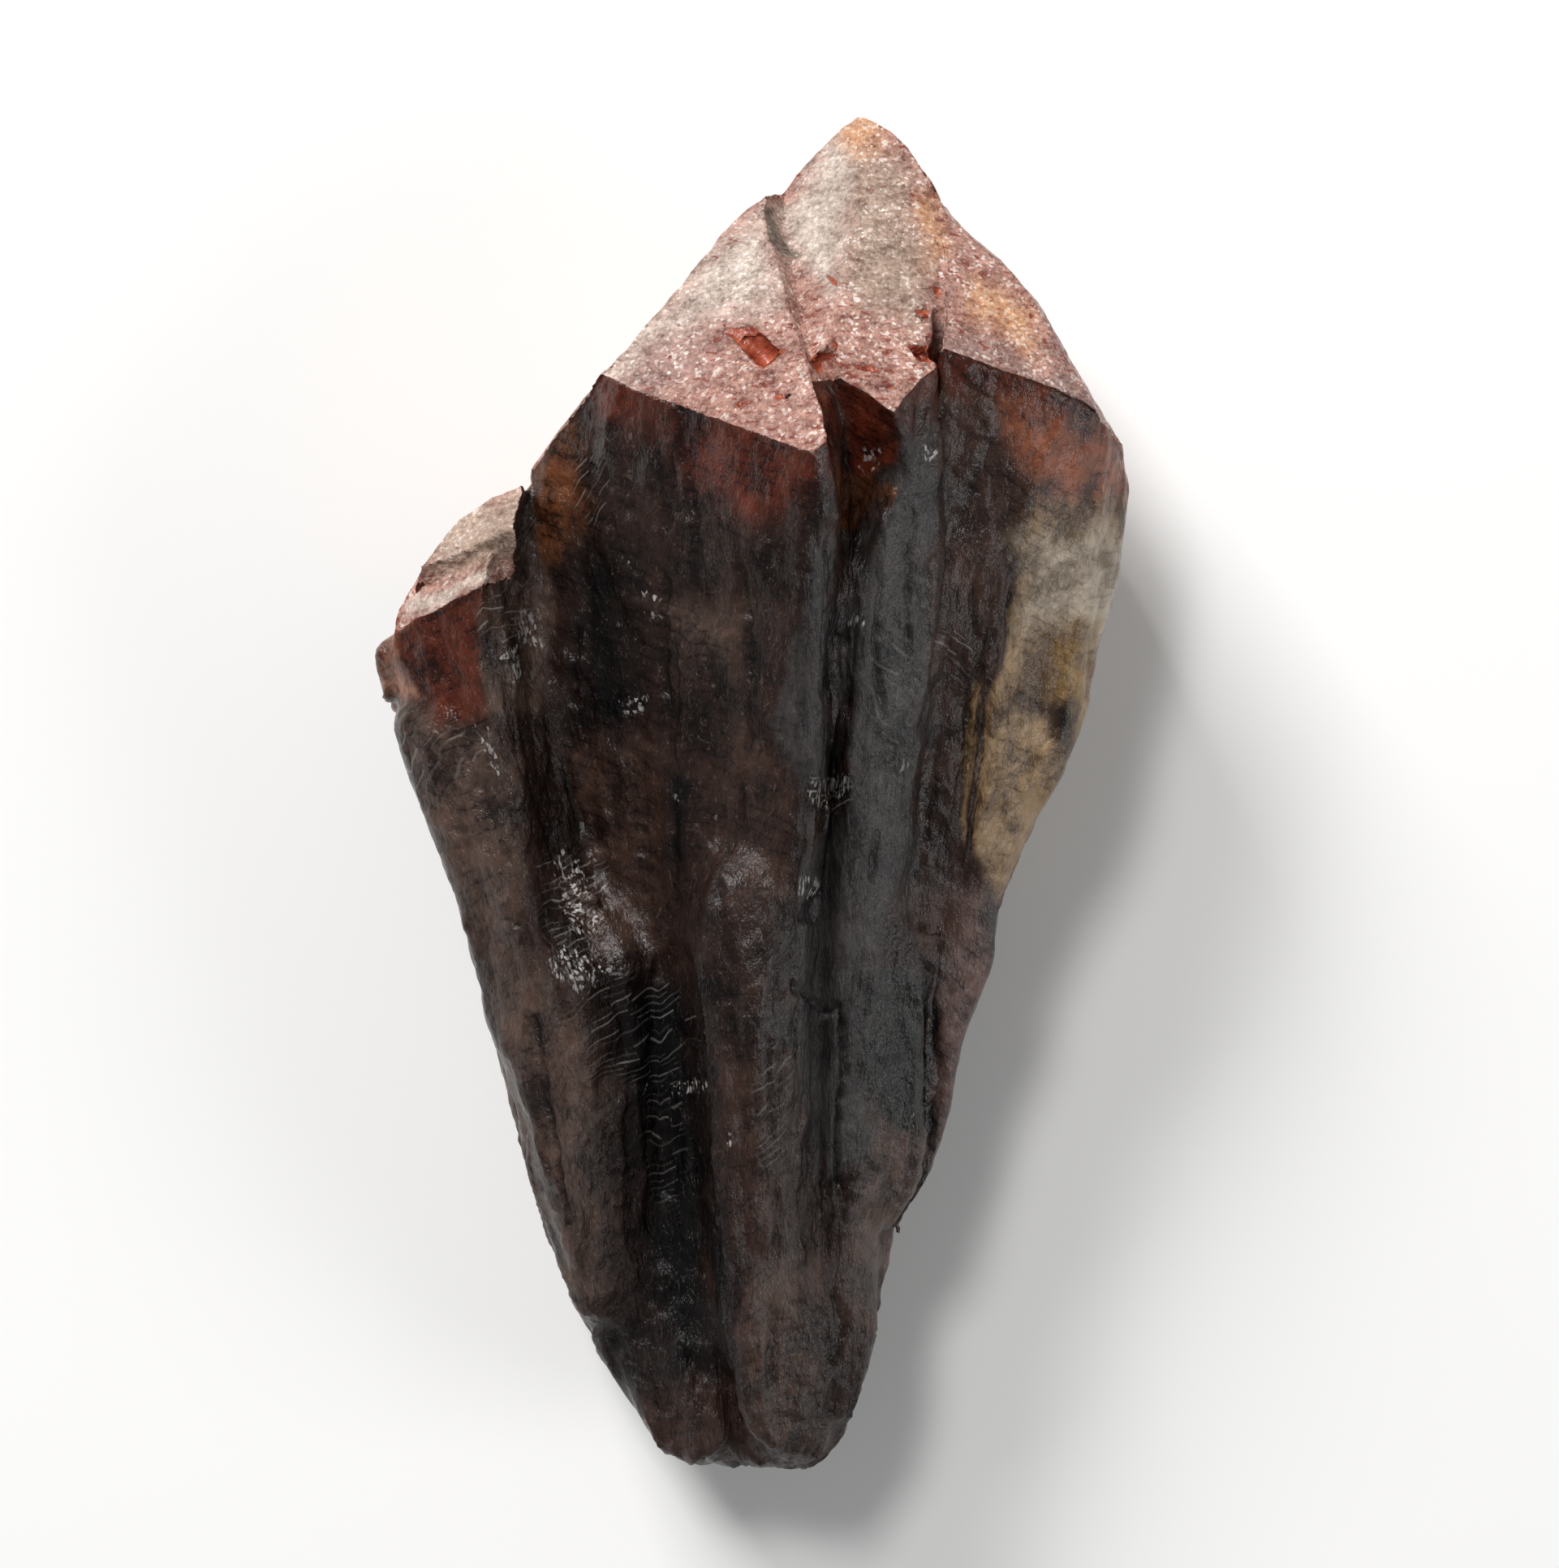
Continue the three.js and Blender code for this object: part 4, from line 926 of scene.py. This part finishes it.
def frost_finish(tree, mm):
    """Colour, roughness and height in mm of the frosting: tilted grains 0.15 to 0.3 mm wide, the brightest
    of them painted near white as glints, in drifts of light and dark, brushed up and to the right, with
    short rust-red specks that lie level."""
    drifts = add(tree, "TexNoise", {"Vector": mm, "Scale": 0.55, "Detail": 4.0, "Roughness": 0.66})
    turn = (0.0, 0.0, math.radians(-50.0))
    brushed = add(tree, "Mapping", {"Vector": mm, "Rotation": turn, "Scale": (0.9, 3.0, 1.8)})
    brushed = add(tree, "TexNoise", {"Vector": brushed, "Scale": 1.0, "Detail": 3.0, "Roughness": 0.7})
    fine = add(tree, "TexNoise", {"Vector": mm, "Scale": 4.0, "Detail": 2.0, "Roughness": 0.7})
    grain_height, grains = tilted_grains(tree, mm, 6.0)
    tone = add(tree, "Math", (fine, 0.8, drifts), operation="MULTIPLY_ADD")
    tone = add(tree, "Math", (brushed, 0.8, tone), operation="MULTIPLY_ADD")
    tone = add(tree, "Math", (grains, 0.14, tone), operation="MULTIPLY_ADD")
    tone = add(tree, "MapRange", (tone, 1.04, 1.68, 0.0, 1.0))
    dark = add(tree, "Attribute", (), "Vector", attribute_name="frost_dark")
    light = add(tree, "Attribute", (), "Vector", attribute_name="frost_light")
    colour = add(tree, "Mix", {0: tone, 6: dark, 7: light}, 2, data_type="RGBA")

    level = add(tree, "VectorMath", (mm, (1.1, 2.6, 1.8)), operation="MULTIPLY")
    rust = add(tree, "TexNoise", {"Vector": level, "Scale": 1.0, "Detail": 3.0, "Roughness": 0.6})
    speckled = add(tree, "Attribute", (), "Fac", attribute_name="speckled")
    least = add(tree, "MapRange", (speckled, 0.0, 1.0, 0.72, 0.585))
    most = add(tree, "Math", (least, 0.03), operation="ADD")
    speck = add(tree, "MapRange", (rust, least, most, 0.0, 0.85))
    colour = add(tree, "Mix", {0: speck, 6: colour, 7: linear("7a3020")}, 2, data_type="RGBA")
    # Painted glints: the brightest grains, mostly in the light drifts, are mixed towards near white
    painted_glint = add(tree, "MapRange", (grains, 0.69, 0.74, 0.0, 0.55))
    where = add(tree, "MapRange", (drifts, 0.46, 0.6, 0.2, 1.0))
    painted_glint = add(tree, "Math", (painted_glint, where), operation="MULTIPLY")
    colour = add(tree, "Mix", {0: painted_glint, 6: colour, 7: linear("fbf0e6")}, 2, data_type="RGBA")
    rough = add(tree, "MapRange", (grains, 0.5, 0.72, 0.5, 0.14))

    height = add(tree, "Math", (grain_height, 0.9), operation="MULTIPLY")
    height = add(tree, "Math", (fine, 0.1, height), operation="MULTIPLY_ADD")
    height = add(tree, "Math", (brushed, 0.12, height), operation="MULTIPLY_ADD")
    return colour, rough, height


def red_capped_quartz():
    """Quartz: glassy where the flanks grew against each other, its colour from iron and from smoke, and
    frosted on the cap faces, where iron oxide under the skin gives the pink ground and the red windows."""
    material = bpy.data.materials.new("red capped smoky quartz")
    material.use_nodes = True
    tree = material.node_tree
    shader = tree.nodes["Principled BSDF"]
    place = add(tree, "TexCoord", (), "Object")
    mm = add(tree, "VectorMath", (place, (1 / MM,) * 3), operation="MULTIPLY")
    grain = add(tree, "Attribute", (), "Vector", attribute_name="grain")
    flank_colour, flank_rough, flank_height = flank_finish(tree, mm, grain)
    frost_colour, frost_rough, frost_height = frost_finish(tree, mm)

    cap = add(tree, "Attribute", (), "Fac", attribute_name="cap")
    window = add(tree, "Attribute", (), "Fac", attribute_name="window")
    glazed = add(tree, "MapRange", (window, -0.03, 0.03, 1.0, 0.0))
    glazed = add(tree, "Math", (glazed, cap), operation="MULTIPLY")
    frosted = add(tree, "Math", (cap, glazed), operation="SUBTRACT")
    red = add(tree, "TexNoise", {"Vector": mm, "Scale": 1.2, "Detail": 4.0, "Roughness": 0.6})
    red = add(tree, "MapRange", (red, 0.35, 0.65, 0.0, 1.0))
    red = add(tree, "Mix", {0: red, 6: linear("7a2c1c"), 7: linear("c2674a")}, 2, data_type="RGBA")
    colour = add(tree, "Mix", {0: glazed, 6: flank_colour, 7: red}, 2, data_type="RGBA")
    colour = add(tree, "Mix", {0: frosted, 6: colour, 7: frost_colour}, 2, data_type="RGBA")
    rough = add(tree, "Mix", {0: frosted, 2: flank_rough, 3: frost_rough})
    height = add(tree, "Mix", {0: frosted, 2: flank_height, 3: frost_height})
    bump = add(tree, "Bump", {"Height": height, "Distance": MM, "Strength": 1.0})
    clear = add(tree, "Attribute", (), "Fac", attribute_name="clear")
    opaque = add(tree, "MapRange", (frosted, 0.0, 1.0, 1.0, 0.0))
    clear = add(tree, "Math", (clear, opaque), operation="MULTIPLY")

    tree.links.new(colour, shader.inputs["Base Color"])
    tree.links.new(rough, shader.inputs["Roughness"])
    tree.links.new(clear, shader.inputs["Transmission Weight"])
    tree.links.new(bump, shader.inputs["Normal"])
    shader.inputs["IOR"].default_value = 1.544
    shader.inputs["Specular IOR Level"].default_value = 0.32
    absorption = add(tree, "VolumeAbsorption", {"Color": linear("a07a5c"), "Density": 90.0})
    tree.links.new(absorption, tree.nodes["Material Output"].inputs["Volume"])
    return material


def floor():
    mesh = bpy.data.meshes.new("floor")
    half = 1.5
    mesh.from_pydata([(-half, -half, 0), (half, -half, 0), (half, half, 0), (-half, half, 0)], [], [(0, 1, 2, 3)])
    plane = bpy.data.objects.new("floor", mesh)
    plane.location.z = -0.00005
    bpy.context.scene.collection.objects.link(plane)
    material = bpy.data.materials.new("floor paper")
    material.use_nodes = True
    shader = material.node_tree.nodes["Principled BSDF"]
    shader.inputs["Base Color"].default_value = linear("f6f5f3")
    shader.inputs["Roughness"].default_value = 0.9
    mesh.materials.append(material)


def area_light(name, place, size, watts, colour="ffffff"):
    """A square soft light at a place in metres, facing the middle of the stone."""
    data = bpy.data.lights.new(name, "AREA")
    data.size = size
    data.energy = watts
    data.color = linear(colour)[:3]
    lamp = bpy.data.objects.new(name, data)
    lamp.location = place
    aim = np.array([0.0, 0.0, 0.012]) - np.array(place)
    lamp.rotation_euler = (
        math.atan2(math.hypot(aim[0], aim[1]), -aim[2]),
        0.0,
        math.atan2(aim[0], -aim[1]) + math.pi,
    )
    bpy.context.scene.collection.objects.link(lamp)


def lights():
    world = bpy.data.worlds.new("studio")
    world.use_nodes = True
    world.node_tree.nodes["Background"].inputs["Color"].default_value = linear("eef1f5")
    world.node_tree.nodes["Background"].inputs["Strength"].default_value = 0.2
    bpy.context.scene.world = world
    area_light("key", (-0.26, 0.46, 0.36), 0.22, 3.6)
    area_light("fill", (0.5, -0.16, 0.30), 0.30, 1.1)
    area_light("top", (-0.16, 0.26, 0.66), 0.14, 1.8)


def camera():
    data = bpy.data.cameras.new("camera")
    data.sensor_width = SENSOR
    data.lens = SENSOR * CAMERA_DISTANCE / (FRAME_PIXELS[1] / PIXELS_PER_MM)
    data.clip_start = 0.01
    seen = bpy.data.objects.new("camera", data)
    seen.location = (FRAME_MIDDLE[0] * MM, FRAME_MIDDLE[1] * MM, (SHARP_HEIGHT + CAMERA_DISTANCE) * MM)
    bpy.context.scene.collection.objects.link(seen)
    bpy.context.scene.camera = seen


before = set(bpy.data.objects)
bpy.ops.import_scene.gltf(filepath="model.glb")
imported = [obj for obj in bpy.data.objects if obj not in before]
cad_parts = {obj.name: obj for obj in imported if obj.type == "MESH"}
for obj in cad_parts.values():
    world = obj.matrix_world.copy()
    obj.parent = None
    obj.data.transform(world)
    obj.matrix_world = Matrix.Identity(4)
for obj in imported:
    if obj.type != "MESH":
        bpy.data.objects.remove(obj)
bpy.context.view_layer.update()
camera()
lights()
floor()

crystal = make_crystal(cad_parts["crystal"])
crystal.data.materials.append(red_capped_quartz())
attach(crystal, "root")
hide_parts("crystal")
bpy.context.scene.view_settings.view_transform = "Standard"
